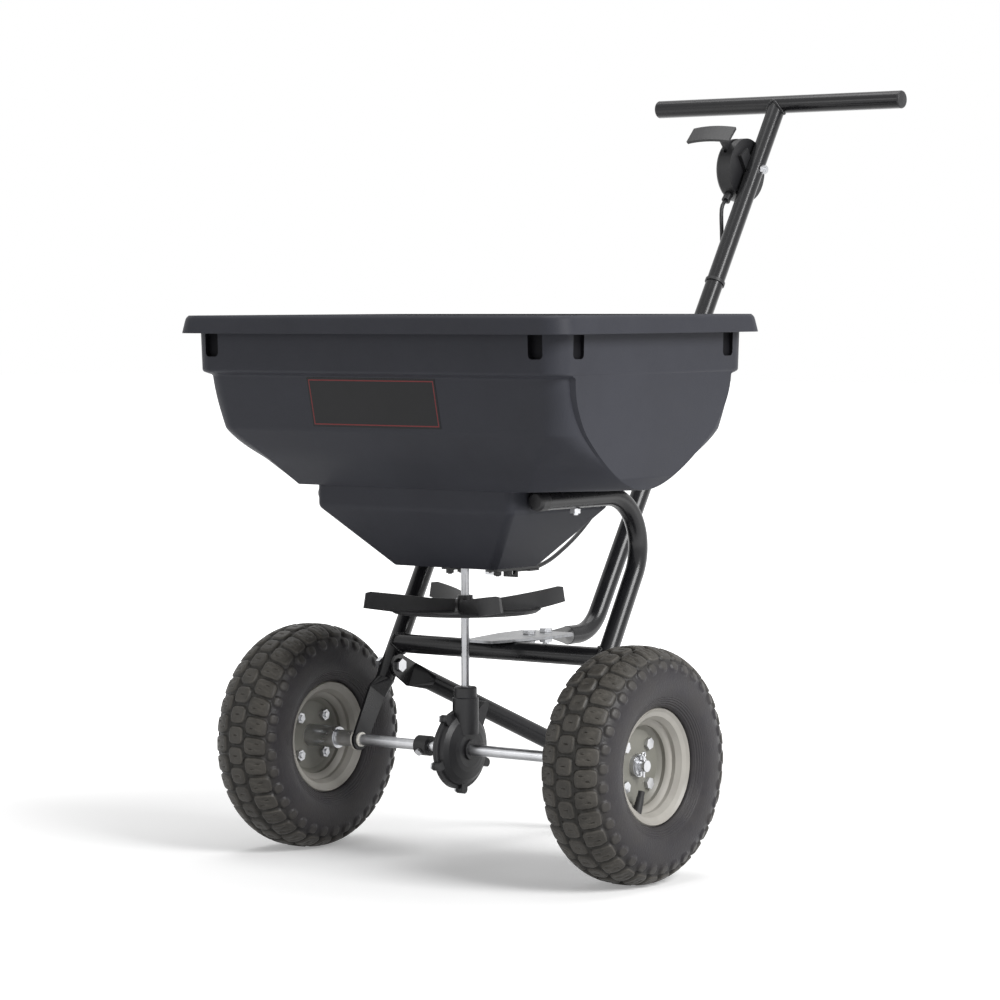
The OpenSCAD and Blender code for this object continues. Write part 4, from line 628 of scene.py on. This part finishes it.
class HopperForm:
    """The hopper's levels, outside and inside, as rows that level describes."""

    def __init__(self, sizes):
        self.x, self.wall, self.rim = (v / MM for v in (sizes.hopper_x, sizes.wall, sizes.rim_z))
        front, back = sizes.hopper_front / MM, sizes.hopper_back / MM
        self.mid, self.depth = (back - front) / 2, (back + front) / 2
        self.body_x = self.x - COLLAR_INSET - BODY_IN[0]
        self.body_depth = self.depth - COLLAR_INSET - BODY_IN[1]
        self.crease_x = self.body_x - CREASE_IN[0]
        self.crease_depth = self.body_depth - CREASE_IN[1]
        self.ledge_x = self.crease_x - LEDGE_IN[0]
        self.ledge_depth = self.crease_depth - LEDGE_IN[1]
        self.well_depth = self.ledge_depth - WELL_IN_Y

    def panel_x(self, z):
        """Half width of the side panel: a parabola from the collar's foot down to the ledge."""
        top, height, drop = self.x - COLLAR_FOOT, COLLAR_Z - LEDGE_Z, COLLAR_Z - z
        bow = ((top - self.ledge_x) / height - PANEL_LEAN) / height
        return top - PANEL_LEAN * drop - bow * drop ** 2

    def slope(self, wall, ledge_rounding, crease_rounding):
        """Levels from the ledge up to the crease: the side panel's half length falls as a power of
        the share of the way down, while the corner turns from a round to a plain slant. Inside,
        the corner's run is shorter by two fifths of the wall."""
        t = 1 - np.linspace(0, 1, SLOPE_ROWS) ** SLOPE_POWER
        panel = (self.crease_depth - PANEL_END_LOW) * np.power(1 - t, PANEL_POWER)
        depth = mix(self.crease_depth, self.ledge_depth, t) - wall
        run_y = np.maximum(LEAST_RUN, depth + wall - panel - wall * 0.4)
        run_y = np.minimum(depth - wall - LEAST_SIDE, run_y)
        corner_x = mix(self.crease_x - PANEL_STEP, self.ledge_x, t)
        z = mix(CREASE_Z, LEDGE_Z, t)
        side = self.panel_x(z)
        rounding = np.zeros_like(t)
        rounding[0], rounding[-1] = ledge_rounding, crease_rounding
        return np.stack([
            z + wall * t, side - wall, self.mid + mix(BODY_BACK, LEDGE_BACK, t), depth,
            mix(CREASE_RUN, self.ledge_x - WELL_X - LEDGE_FLAT, t), run_y,
            mix(ROUND, SLANT, ease(t * SLANT_RATE)), side - corner_x, rounding], axis=1)

    def body(self, wall, top_rounding):
        """Levels from just above the crease to just below the collar: the panel's half length
        grows by a square. Inside, the corner's run is shorter by a fifth of the wall."""
        w = np.linspace(1, 0, BODY_ROWS)[1:]
        z = mix(COLLAR_Z - BODY_GAP, CREASE_Z, w)
        depth = mix(self.body_depth, self.crease_depth, w)
        panel = mix(self.body_depth - PANEL_END, self.crease_depth - PANEL_END_LOW, w ** 2)
        side = self.panel_x(z)
        corner_x = mix(self.body_x, self.crease_x, w) - PANEL_STEP
        rounding = np.zeros_like(w)
        rounding[-1] = top_rounding
        return np.stack([
            z, side - wall, np.full_like(z, self.mid + BODY_BACK), depth - wall,
            mix(BODY_RUN, CREASE_RUN, w), depth - panel - wall * 0.2, np.full_like(z, ROUND),
            side - corner_x, rounding], axis=1)

    def outer(self):
        """The outside, from the floor up to the rim."""
        low = [level(FLOOR_Z, FLOOR_X, FLOOR_DEPTH, FLOOR_MID, 11, 2.5),
               level(BAND_Z, WELL_X, self.well_depth, WELL_MID, 9, 4),
               level(LEDGE_Z, WELL_X, self.well_depth, WELL_MID, 9, 2)]
        under, skirt, roll = self.rim - UNDER_H, self.rim - SKIRT_H, self.rim - ROLL_H
        high = [level(z, self.x - inset, self.depth - inset, self.mid, run, rounding)
                for z, inset, run, rounding in (
                    (COLLAR_Z, COLLAR_FOOT, 24, 2.5), (under, COLLAR_INSET, 24, 2), (under, 6, 27, 2),
                    (skirt, 3, 28, 1), (skirt, 0, 30, 1), (roll, 3.6, 28, 3.5), (self.rim, 6.4, 27, 2.5))]
        return np.vstack([low, self.slope(0, 5, 7), self.body(0, 2.2), high])

    def inner(self):
        """The inside, from the floor's top up to the rim."""
        w = self.wall
        low = [level(FLOOR_Z + w, FLOOR_X - w, FLOOR_DEPTH - w, FLOOR_MID, 9, 3),
               level(BAND_Z + 2, WELL_X - w, self.well_depth - w, WELL_MID, 7, 5),
               level(LEDGE_Z + w, WELL_X - w, self.well_depth - w, WELL_MID, 7, 3)]
        high = [level(self.rim, self.body_x - 2, self.body_depth - 2, self.mid + BODY_BACK, 26, 2, 20)]
        return np.vstack([low, self.slope(w, 6, 8), self.body(w, 5), high])


def round_levels(table, steps=4):
    """Rounds each inner level: the two neighbours are joined by a parabola that starts and ends at
    the rounding's distance from the level, with one more level just outside it on each side."""
    levels, rounding = table[:, :-1], table[:, -1]
    out = [levels[:1]]
    t = np.linspace(0, 1, steps + 1)[:, None]
    for k in range(1, len(levels) - 1):
        here = levels[k]
        if rounding[k] <= 0:
            out.append(here[None])
            continue
        ends = []
        for other in (levels[k - 1], levels[k + 1]):
            gap = other - here
            length = max(1e-6, np.linalg.norm(gap[[0, 1, 3]]))
            ends.append(gap * min(MOST_SHARE, rounding[k] / length))
        a, b = here + ends[0], here + ends[1]
        curve = (1 - t) ** 2 * a + 2 * t * (1 - t) * here + t ** 2 * b
        out += [(here + ends[0] * OUTSIDE)[None], curve, (here + ends[1] * OUTSIDE)[None]]
    out.append(levels[-1:])
    return np.vstack(out)


def level_rings(levels, steps):
    """A ring of points at each level: superellipse corners, cos and sin to the power 2 / q, joined
    by straight sides, with the x sides stepped proud by the panel step."""
    z, hx, my, hy, cx, cy, q, step = (levels[:, k:k + 1] for k in range(levels.shape[1]))
    s = np.linspace(0, math.pi / 2, steps + 1)[None, :]
    px = np.power(np.clip(np.cos(s), 0, 1), 2 / q)
    py = np.power(np.clip(np.sin(s), 0, 1), 2 / q)
    side = hy - cy
    edge_y = np.where(side / 2 > PANEL_STEP, side - PANEL_STEP, side / 2)
    qx = np.hstack([hx, hx - step - cx + cx * px])
    qy = np.hstack([edge_y, side + cy * py])
    x = np.hstack([qx, -qx[:, ::-1], -qx, qx[:, ::-1]])
    y = np.hstack([qy, qy[:, ::-1], -qy, -qy[:, ::-1]]) + my
    return np.stack([x, y, np.broadcast_to(z, x.shape)], axis=-1)


def prism(outline, at, along, depth):
    """A closed prism: an outline drawn across and up, and carried the depth both ways along a line."""
    along, up = np.array(along, float), np.array([0, 0, 1.0])
    flat = at + outline[:, :1] * np.cross(along, up) + outline[:, 1:] * up
    return capped(np.stack([flat - along * depth, flat + along * depth]))


def cut_from(piece, parts):
    """Cuts closed solids out of a piece."""
    # The cut faces take the cutter's finish, near-black painted shade on the pockets' and the outlet's walls.
    cutter = placed("cutter", joined("cutter", parts, FINISHES["pocket_shade"]))
    weld = cutter.modifiers.new("weld", "WELD")
    weld.merge_threshold = 1e-6
    cut = piece.modifiers.new("cut", "BOOLEAN")
    cut.operation = "DIFFERENCE"
    cut.solver = "EXACT"
    cut.material_mode = "TRANSFER"
    cut.object = cutter
    bpy.context.view_layer.update()
    result = bpy.data.meshes.new_from_object(piece.evaluated_get(bpy.context.evaluated_depsgraph_get()))
    if not result.polygons:
        raise RuntimeError(f"{piece.name}: the cut left nothing")
    piece.modifiers.clear()
    uncut, piece.data = piece.data, result
    result.name = uncut.name + "_cut"
    bpy.data.meshes.remove(uncut)
    bpy.data.objects.remove(cutter)


# A pocket's half width, height and bottom corner radius, and how far its top is under the skirt's edge.
POCKET_W, POCKET_H, POCKET_R, POCKET_GAP = 9.5, 26.0, 5.0, 0.5
# How far in from the skirt along x and y, the way a pocket is cut, and how deep.
POCKETS = ((46.0, COLLAR_INSET, (0, 1, 0), 7.5), (COLLAR_INSET, 56.0, (1, 0, 0), 5.0))
# The outlet's middle, its half sizes, and how far under the floor the cut starts and how tall it is.
OUTLET_Y, OUTLET_HALF, OUTLET_LOW, OUTLET_TALL = 28.75, (20.0, 13.0), 3.0, 12.0


class SPREADER_OT_hopper(bpy.types.Operator):
    """Build the smooth hopper shell, with its pockets and outlet, in place of the CAD hopper"""
    bl_idname = "spreader.hopper"
    bl_label = "Hopper"

    def execute(self, context):
        sizes = context.scene.spreader_sizes
        form = HopperForm(sizes)
        outer = level_rings(round_levels(form.outer()), sizes.corner_steps)
        inner = level_rings(round_levels(form.inner()), sizes.corner_steps)
        shell = capped(np.vstack([outer, inner[::-1]]))
        piece = make_piece("hopper_shell", [shell], FINISHES["hopper_plastic"], "frame",
                           SHELL_SHARP)
        cut_from(piece, self.pockets(form) + [self.outlet()])
        shade(piece, SHELL_SHARP)
        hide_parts("hopper")
        return {"FINISHED"}

    def pockets(self, form):
        """Pockets under the skirt, two at each corner: a flat top and a bottom with round corners."""
        a = np.linspace(math.pi, 2 * math.pi, 13)
        flat = POCKET_W - POCKET_R
        bowl = np.stack([flat * np.sign(np.cos(a)) + POCKET_R * np.cos(a),
                         POCKET_R - POCKET_H + POCKET_R * np.sin(a)], axis=1)
        outline = np.vstack([[[POCKET_W, 0], [-POCKET_W, 0]], bowl])[::-1]
        top = form.rim - SKIRT_H - POCKET_GAP
        return [prism(outline, np.array([sx * (form.x - in_x), form.mid + sy * (form.depth - in_y), top]),
                      along, depth)
                for sx in (-1, 1) for sy in (-1, 1) for in_x, in_y, along, depth in POCKETS]

    def outlet(self):
        """A block through the floor where the gate slides."""
        corners = np.array([[-1, -1], [1, -1], [1, 1], [-1, 1]]) * OUTLET_HALF + (0, OUTLET_Y)
        low = np.column_stack([corners, np.full(4, FLOOR_Z - OUTLET_LOW)])
        return capped(np.stack([low, low + (0, 0, OUTLET_TALL)]))


# The label's middle along x and up the wall from the crease, its film's face above the wall, and
# the share of that height that the film fills.
LABEL_X, LABEL_UP, LABEL_PROUD, LABEL_FILL = -7.0, 33.0, 0.35, 0.9
LABEL_COLS, LABEL_ROWS = 25, 9


class SPREADER_OT_label(bpy.types.Operator):
    """Lay a blank bordered label on the hopper's front wall"""
    bl_idname = "spreader.blank_label"
    bl_label = "Blank label"

    def execute(self, context):
        sizes = context.scene.spreader_sizes
        width, tall = sizes.label_w / MM, sizes.label_h / MM
        form = HopperForm(sizes)
        middle_y = form.mid + BODY_BACK
        low = np.array([middle_y - form.crease_depth, CREASE_Z])
        high = np.array([middle_y - form.body_depth, COLLAR_Z - BODY_GAP])
        up = (high - low) / np.linalg.norm(high - low)
        out = np.array([-up[1], up[0]]) * LABEL_PROUD
        gu, gv = np.meshgrid(np.linspace(0, 1, LABEL_COLS), np.linspace(0, 1, LABEL_ROWS))
        yz = low + up * LABEL_UP + (gv[..., None] - 0.5) * tall * up + out
        front = np.dstack([LABEL_X + (gu - 0.5) * width, yz])
        back = front - np.array([0, *out]) * LABEL_FILL
        faces = grid_faces(LABEL_ROWS, LABEL_COLS, wrap_cols=False)
        index = np.arange(gu.size).reshape(gu.shape)
        loop = np.concatenate([index[0], index[1:, -1], index[-1, -2::-1], index[-2:0:-1, 0]])
        following = np.roll(loop, -1)
        edge = np.stack([loop, loop + gu.size, following + gu.size, following], axis=1)
        points = np.vstack([front.reshape(-1, 3), back.reshape(-1, 3)])
        film = (points, [faces, faces[:, ::-1] + gu.size, edge])
        finish = label_finish("blank_label", (width, tall), sizes.label_border / MM,
                              context.scene.spreader_colours.border)
        piece = make_piece("blank_label", [film], finish, "frame")
        spots = np.tile(np.stack([gu.ravel(), gv.ravel()], axis=1), (2, 1))
        corner = np.empty(len(piece.data.loops), np.int32)
        piece.data.loops.foreach_get("vertex_index", corner)
        piece.data.uv_layers.new(name="label").data.foreach_set("uv", spots[corner].ravel())
        return {"FINISHED"}


# ---------- tyres ----------

# Lugs round the tyre, mesh steps for each, and their height in millimetres.
LUG_ROWS, STEPS_PER_LUG, LUG_H = 34, 16, 3.6
# How far the tyre stays inside the CAD tyre's sides and above the floor.
SIDE_GAP, FLOOR_GAP = 0.02, 0.03
TYRE_SHARP = 80.0


class TyreSection:
    """The tyre's closed outline, as rows of x and radius, with the outward normal and the distance
    from the crown along the outside. Lengths are in millimetres."""
    half_w, cavity_half_w, wall = 42.4, 36.5, 6.0
    seat_r, flange_r, flange_x = 54.3, 65.6, 25.0
    # The bead's foot, as x and its rise above the seat, and the cavity's mouth.
    seat_rise = np.array([[17.5, 0.0], [20.2, 2.3], [22.5, 5.0]])
    mouth = np.array([[15.0, 54.7]])
    mirror = np.array([-1, 1])
    crown_power, bead_power = 2.6, 2.1
    tread_reach, tread_stops, wall_stops, cavity_stops = 54.0, 81, 14, 17
    cavity_start = math.radians(-66.9)
    out_of_reach = 1e3

    def __init__(self, tyre_r):
        self.crown_r = tyre_r - LUG_H
        outer = self.outside()
        foot = (self.flange_x + outer[0, 0]) / 2
        flange = [[self.flange_x, self.flange_r], [foot, self.flange_r]]
        seat = np.vstack([self.seat_rise + (0, self.seat_r), flange])
        self.points = np.vstack([seat, outer, seat[::-1] * self.mirror, self.inside()])
        run = np.concatenate([[0], np.cumsum(np.linalg.norm(np.diff(outer, axis=0), axis=1))])
        self.along = np.full(len(self.points), self.out_of_reach)
        self.along[len(seat):len(seat) + len(outer)] = run - run[-1] / 2
        tangent = np.roll(self.points, -1, 0) - np.roll(self.points, 1, 0)
        tangent /= np.linalg.norm(tangent, axis=1, keepdims=True)
        self.normal = np.stack([tangent[:, 1], -tangent[:, 0]], axis=1)

    def power_curve(self, a, half_w, low, high):
        """Superellipse: half width by cos to the power 2 / q, and the radius likewise by sin, with
        q blunt above the middle and rounder below it."""
        q = np.where(np.sin(a) > 0, self.crown_power, self.bead_power)
        bend = np.sign(np.cos(a)) * np.abs(np.cos(a)) ** (2 / q)
        rise = np.sign(np.sin(a)) * np.abs(np.sin(a)) ** (2 / q)
        return np.stack([half_w * bend, (low + high) / 2 + (high - low) / 2 * rise], axis=1)

    def outside(self):
        """The outside from flange to flange, with its points spread evenly but closer at the tread."""
        low, high = self.seat_r, self.crown_r
        dip = (self.flange_r - (low + high) / 2) / ((high - low) / 2)
        start = -math.asin(abs(dip) ** (self.bead_power / 2))
        fine = self.power_curve(np.linspace(start, math.pi - start, 4001), self.half_w, low, high)
        run = np.concatenate([[0], np.cumsum(np.linalg.norm(np.diff(fine, axis=0), axis=1))])
        crown = run[-1] / 2
        tread = np.linspace(-self.tread_reach, self.tread_reach, self.tread_stops)
        wall = np.linspace(0, crown - self.tread_reach, self.wall_stops)[:-1]
        stops = np.concatenate([wall, crown + tread, (run[-1] - wall)[::-1]])
        return np.stack([np.interp(stops, run, fine[:, k]) for k in (0, 1)], axis=1)

    def inside(self):
        """The cavity, from the bead of one side over the top to the other."""
        a = np.linspace(self.cavity_start, math.pi - self.cavity_start, self.cavity_stops)
        cavity = self.power_curve(a, self.cavity_half_w, self.seat_r + self.wall, self.crown_r - self.wall)
        return np.vstack([self.mouth, cavity, self.mouth * self.mirror])[::-1]


# A lug's half length as a share of the pitch, its half width, its corner power and its flank's steepness.
MID_LUG, SIDE_LUG, BAR_LUG = (0.45, 10.8, 4.0, 5.2), (0.46, 13.4, 4.5, 5.6), (0.33, 6.6, 2.8, 3.2)
# How far from the crown the side lugs and bars stand, and the share of the full height of a bar.
SIDE_AT, BAR_AT, BAR_TALL = 25.2, 44.5, 0.62
# The lean of the side lugs, in millimetres for each one past a distance from the crown.
LEAN, LEAN_FROM = 0.10, 24.0
# Slits and notches: their place along the lug, half width, middle, half length, end run and depth.
SLIT_AT, SLIT_W, SLIT_MID, SLIT_REACH, SLIT_END, SLIT_DEEP = 3.4, 0.95, 24.2, 7.5, 2.0, 0.5
NOTCH_W, NOTCH_REACH, NOTCH_END, NOTCH_DEEP = 1.1, 4.4, 1.5, 0.45


def lug_shape(u, v, pitch, lug):
    """1 in the middle of a rounded block and 0 at its edge and beyond: 1 less the block's norm,
    made steeper and eased into a flank and a flat top."""
    length, half_v, power, steepness = lug
    half_u = pitch * length
    inward = 1 - (np.abs(u / half_u) ** power + np.abs(v / half_v) ** power) ** (1 / power)
    return ease(np.clip(inward, 0, 1) * steepness)


def lug_field(along, turn, pitch):
    """Share of the lug height over the tread: a middle row, two wide side rows half a pitch out of
    step with it, and short shoulder bars; side blocks carry two slits, and each block varies a little."""
    u_mid = ((turn + 0.5) % 1 - 0.5) * pitch
    u_side = (turn % 1 - 0.5) * pitch
    number = np.floor(turn)
    vary = 0.6 * np.sin(number * 2.4) + 0.5 * np.sin(number * 5.1 + np.sign(along))
    v = np.abs(along)
    lean = u_side + LEAN * (v - LEAN_FROM)
    mid = lug_shape(u_mid, along, pitch, MID_LUG)
    side = lug_shape(lean, v - SIDE_AT - vary, pitch, SIDE_LUG)
    bar = lug_shape(u_mid, v - BAR_AT, pitch, BAR_LUG)
    slit = (ease(1 - np.abs(np.abs(lean) - SLIT_AT) / SLIT_W)
            * ease((SLIT_REACH - np.abs(v - SLIT_MID)) / SLIT_END))
    notch = ease(1 - np.abs(u_mid) / NOTCH_W) * ease((NOTCH_REACH - v) / NOTCH_END)
    tall = np.maximum(mid * (1 - NOTCH_DEEP * notch), side * (1 - SLIT_DEEP * slit))
    return np.maximum(tall, BAR_TALL * bar)


class SPREADER_OT_tyres(bpy.types.Operator):
    """Build the lugged tyres in place of the CAD tyres"""
    bl_idname = "spreader.tyres"
    bl_label = "Tyres"

    def execute(self, context):
        for node in ("tyre_right", "tyre_left"):
            self.tyre(node)
        return {"FINISHED"}

    def tyre(self, node):
        """The section turned about the axle, moved out along its normal by the lug field."""
        lo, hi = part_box(node)
        limit = (hi.x - lo.x) / 2 / MM - SIDE_GAP
        centre_x, axle_z = middle(lo, hi)[0], AXLE_Z / MM
        section = TyreSection(axle_z - FLOOR_GAP)
        columns = LUG_ROWS * STEPS_PER_LUG
        turn = np.arange(columns) / STEPS_PER_LUG
        angle = turn / LUG_ROWS * 2 * math.pi - math.pi / 2
        pitch = 2 * math.pi * section.crown_r / LUG_ROWS
        share = lug_field(section.along[:, None], turn[None, :], pitch)
        x, r = (section.points[:, k:k + 1] + section.normal[:, k:k + 1] * LUG_H * share for k in (0, 1))
        x = np.clip(x, -limit, limit)
        side = math.copysign(1, centre_x)
        y, z = r * np.cos(angle) * side, axle_z + r * np.sin(angle)
        points = np.stack([centre_x + side * x, y, z], axis=-1)
        faces = grid_faces(len(section.points), columns, wrap_rows=True)[:, ::-1]
        piece = make_piece(f"{node}_lugged", [(points.reshape(-1, 3), [faces])], FINISHES["tyre_rubber"],
                           frame["nodes"][node]["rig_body"], TYRE_SHARP)
        layer = piece.data.attributes.new("lug", "FLOAT", "POINT")
        layer.data.foreach_set("value", share.ravel().astype(np.float32))
        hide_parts(node)


# ---------- weld beads ----------

# The tubes' radius in millimetres, and how the stem and the legs lean.
TUBE_R = 11.1
STEM_LEAN, LEG_LEAN = math.radians(32.2), math.radians(30.5)
# Where the legs' middle lines stand along x, and how far behind them the crossbar runs.
LEG_X, LEG_OFFSET = 151.0, 2.0
# Added under each root, so that a bead turns in a round where its tube's side runs out.
ROOT_EASE = 2.0
STEM_STEPS, CROSS_STEPS, BEAD_SIDES, BEAD_SHARP = 180, 150, 10, 60.0
RIPPLE_PITCH, RIPPLE_SHARE = 2.6, 0.13


def bead(path, radius, hint):
    """A weld bead along a closed path: its radius swells and shrinks once for each ripple pitch."""
    steps = np.linalg.norm(np.diff(path, axis=0, append=path[:1]), axis=1)
    along = np.concatenate([[0], np.cumsum(steps)[:-1]])
    turns = max(1, round(steps.sum() / RIPPLE_PITCH))
    swell = 1 + RIPPLE_SHARE * np.cos(2 * math.pi * turns * along / steps.sum())
    return swept(path, radius * swell, BEAD_SIDES, hint)


class SPREADER_OT_welds(bpy.types.Operator):
    """Lay the weld beads where the tubes meet"""
    bl_idname = "spreader.weld_beads"
    bl_label = "Weld beads"

    def execute(self, context):
        r = context.scene.spreader_sizes.weld_r / MM
        beads = [self.stem_bead(r), self.cross_bead(r, 1), self.cross_bead(r, -1)]
        make_piece("weld_beads", beads, FINISHES["frame_paint"], "frame", BEAD_SHARP)
        return {"FINISHED"}

    def stem_bead(self, r):
        """On the stem's surface, as far down it as the bar's surface: the square root of the bar's
        radius squared less the side offset squared."""
        a = np.linspace(0, 2 * math.pi, STEM_STEPS, endpoint=False)[:, None]
        down = np.array([0, -math.sin(STEM_LEAN), -math.cos(STEM_LEAN)])
        back = np.array([0, math.cos(STEM_LEAN), -math.sin(STEM_LEAN)])
        bar = middle(BAR_LO, BAR_HI) * (0, 1, 1)
        reach = np.sqrt(np.maximum(TUBE_R ** 2 - (TUBE_R * np.sin(a)) ** 2, 0) + ROOT_EASE)
        path = bar + TUBE_R * np.cos(a) * np.array([1.0, 0, 0]) + TUBE_R * np.sin(a) * back + reach * down
        return bead(path, r, (0.31, 0.5, 0.81))

    def cross_bead(self, r, side):
        """On the crossbar's surface, as far out as the leg's surface: the side offset less the
        square root of the leg's radius squared less the height offset squared."""
        lo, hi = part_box("crossbar")
        _, y, z = middle(lo, hi)
        a = np.linspace(0, 2 * math.pi, CROSS_STEPS, endpoint=False)
        offset = TUBE_R * np.cos(a + LEG_LEAN) - LEG_OFFSET * math.cos(LEG_LEAN)
        x = LEG_X - np.sqrt(np.maximum(TUBE_R ** 2 - offset ** 2, 0) + ROOT_EASE)
        path = np.stack([side * x, y + TUBE_R * np.cos(a), z + TUBE_R * np.sin(a)], axis=1)
        return bead(path, r, (side, 0.03, 0.02))


# ---------- stage ----------

# The floor's half size in metres, and the two greys of its paper.
FLOOR_HALF = 20.0
PAPER_DARK, PAPER_LIGHT = (0.85, 0.85, 0.85), (0.87, 0.87, 0.87)
# How much the floor glows for the camera near the object, what it gains far off, and between
# which distances it does.
GLOW_NEAR, GLOW_GAIN, GLOW_FROM, GLOW_TO = 0.28, 0.9, 0.55, 1.5
# The strength at which the backdrop lights the object.
SKY_LIGHT = 0.22
# Each lamp's place, aim, size in metres and power in watts.
LAMPS = {
    "key": ((3.5, -0.5, 2.5), (0, 0, 0.4), 1.8, 158),
    "top": ((-0.3, 0.3, 3.4), (0, 0, 0.3), 2.4, 55),
    "front_fill": ((-1.8, -3.4, 1.6), (0, 0, 0.4), 1.2, 12),
}
# The camera's angles in radians, its place in metres, its focal length as a share of its sensor's
# width, and that width in millimetres.
TURN, TILT, ROLL = 0.6572, 0.0557, -0.0033
DISTANCE, ACROSS, HEIGHT = 4.03724, 0.039818, 0.63978
FOCAL_SHARE, SENSOR = 3.57386, 36


class SPREADER_OT_stage(bpy.types.Operator):
    """Set the floor, the studio lights, the plain backdrop and the camera"""
    bl_idname = "spreader.stage"
    bl_label = "Stage"

    def execute(self, context):
        self.floor()
        self.backdrop(context.scene)
        for name, settings in LAMPS.items():
            self.lamp(name, *settings)
        self.camera(context.scene)
        context.scene.view_settings.view_transform = "Standard"
        return {"FINISHED"}

    def seen(self, tree):
        """1 for camera, glossy and transmission rays, and 0 for the rays that light the object."""
        rays = add(tree, "ShaderNodeLightPath").outputs
        clear = math_node(tree, "MAXIMUM", rays["Is Glossy Ray"], rays["Is Transmission Ray"])
        return math_node(tree, "MAXIMUM", rays["Is Camera Ray"], clear)

    def floor(self):
        """Pale paper that takes the shadow. Seen from the camera, it glows a little near the object
        and fades to plain white beyond it."""
        mesh = bpy.data.meshes.new("floor")
        corners = [(x * FLOOR_HALF, y * FLOOR_HALF, 0) for x, y in ((-1, -1), (1, -1), (1, 1), (-1, 1))]
        mesh.from_pydata(corners, [], [(0, 1, 2, 3)])
        floor = placed("floor", mesh)
        m, t, sockets, co = start_finish("floor_paper", specular=0.0)
        sockets["Roughness"].default_value = 1.0
        t.links.new(blend(t, grain(t, co, 60.0, 2.0)[1], PAPER_DARK, PAPER_LIGHT), sockets["Base Color"])
        away = add(t, "ShaderNodeVectorMath", {0: co}, operation="LENGTH").outputs["Value"]
        far = remap(t, away, GLOW_FROM, GLOW_TO, interpolation_type="SMOOTHSTEP")
        glow = times(t, raised(t, far, GLOW_GAIN, GLOW_NEAR), self.seen(t))
        sockets["Emission Strength"].default_value = 1.0
        t.links.new(glow, sockets["Emission Color"])
        mesh.materials.append(m)

    def backdrop(self, scene):
        """White all round, at full strength where it is seen and at a low one where it lights."""
        scene.world = bpy.data.worlds.new("studio")
        scene.world.use_nodes = True
        t = scene.world.node_tree
        sky = t.nodes["Background"].inputs
        sky["Color"].default_value = (1, 1, 1, 1)
        t.links.new(raised(t, self.seen(t), 1 - SKY_LIGHT, SKY_LIGHT), sky["Strength"])

    def lamp(self, name, at, aim, size, power):
        """A square soft lamp, turned to its aim."""
        data = bpy.data.lights.new(name, "AREA")
        data.shape = "SQUARE"
        data.size = size
        data.energy = power
        turn = (Vector(aim) - Vector(at)).to_track_quat("-Z", "Y").to_matrix().to_4x4()
        placed(name, data).matrix_world = Matrix.Translation(at) @ turn

    def camera(self, scene):
        """A long lens on the front right. Its place is so far back along its heading, so far across
        it, and so high above the floor under the axle."""
        right = Vector((math.cos(TURN), math.sin(TURN), 0))
        ahead = Vector((-math.sin(TURN), math.cos(TURN), 0))
        at = -ahead * DISTANCE + right * ACROSS + Vector((0, AXLE_Y, HEIGHT))
        forward = ahead * math.cos(TILT) - Vector((0, 0, 1)) * math.sin(TILT)
        up = right.cross(forward)
        x_axis = right * math.cos(ROLL) + up * math.sin(ROLL)
        y_axis = x_axis.cross(forward)
        data = bpy.data.cameras.new("camera")
        data.sensor_width = SENSOR
        data.lens = FOCAL_SHARE * SENSOR
        camera = placed("camera", data)
        rows = [(x_axis[k], y_axis[k], -forward[k], at[k]) for k in range(3)] + [(0, 0, 0, 1)]
        camera.matrix_world = Matrix(rows)
        scene.camera = camera


class SPREADER_PT_panel(bpy.types.Panel):
    """Lists the steps that dress the spreader"""
    bl_idname = "SPREADER_PT_panel"
    bl_label = "Spreader"
    bl_space_type = "VIEW_3D"
    bl_region_type = "UI"
    bl_category = "Spreader"

    def draw(self, context):
        for step in STEPS:
            self.layout.operator(step.bl_idname)
        for group in (context.scene.spreader_sizes, context.scene.spreader_colours):
            box = self.layout.box()
            for name in group.bl_rna.properties.keys():
                if name not in ("rna_type", "name"):
                    box.prop(group, name)


STEPS = (SPREADER_OT_finishes, SPREADER_OT_hopper, SPREADER_OT_label, SPREADER_OT_tyres, SPREADER_OT_welds,
         SPREADER_OT_stage)
CLASSES = (SpreaderSizes, SpreaderColours) + STEPS + (SPREADER_PT_panel,)


def register():
    """Registers the classes and hangs the sizes and colours on the scene."""
    for c in CLASSES:
        bpy.utils.register_class(c)
    bpy.types.Scene.spreader_sizes = bpy.props.PointerProperty(type=SpreaderSizes)
    bpy.types.Scene.spreader_colours = bpy.props.PointerProperty(type=SpreaderColours)


def unregister():
    """Takes off what register put on."""
    del bpy.types.Scene.spreader_sizes
    del bpy.types.Scene.spreader_colours
    for c in reversed(CLASSES):
        bpy.utils.unregister_class(c)


def main():
    """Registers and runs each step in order."""
    register()
    bpy.ops.spreader.finishes()
    bpy.ops.spreader.hopper()
    bpy.ops.spreader.blank_label()
    bpy.ops.spreader.tyres()
    bpy.ops.spreader.weld_beads()
    bpy.ops.spreader.stage()


if __name__ == "__main__":
    main()
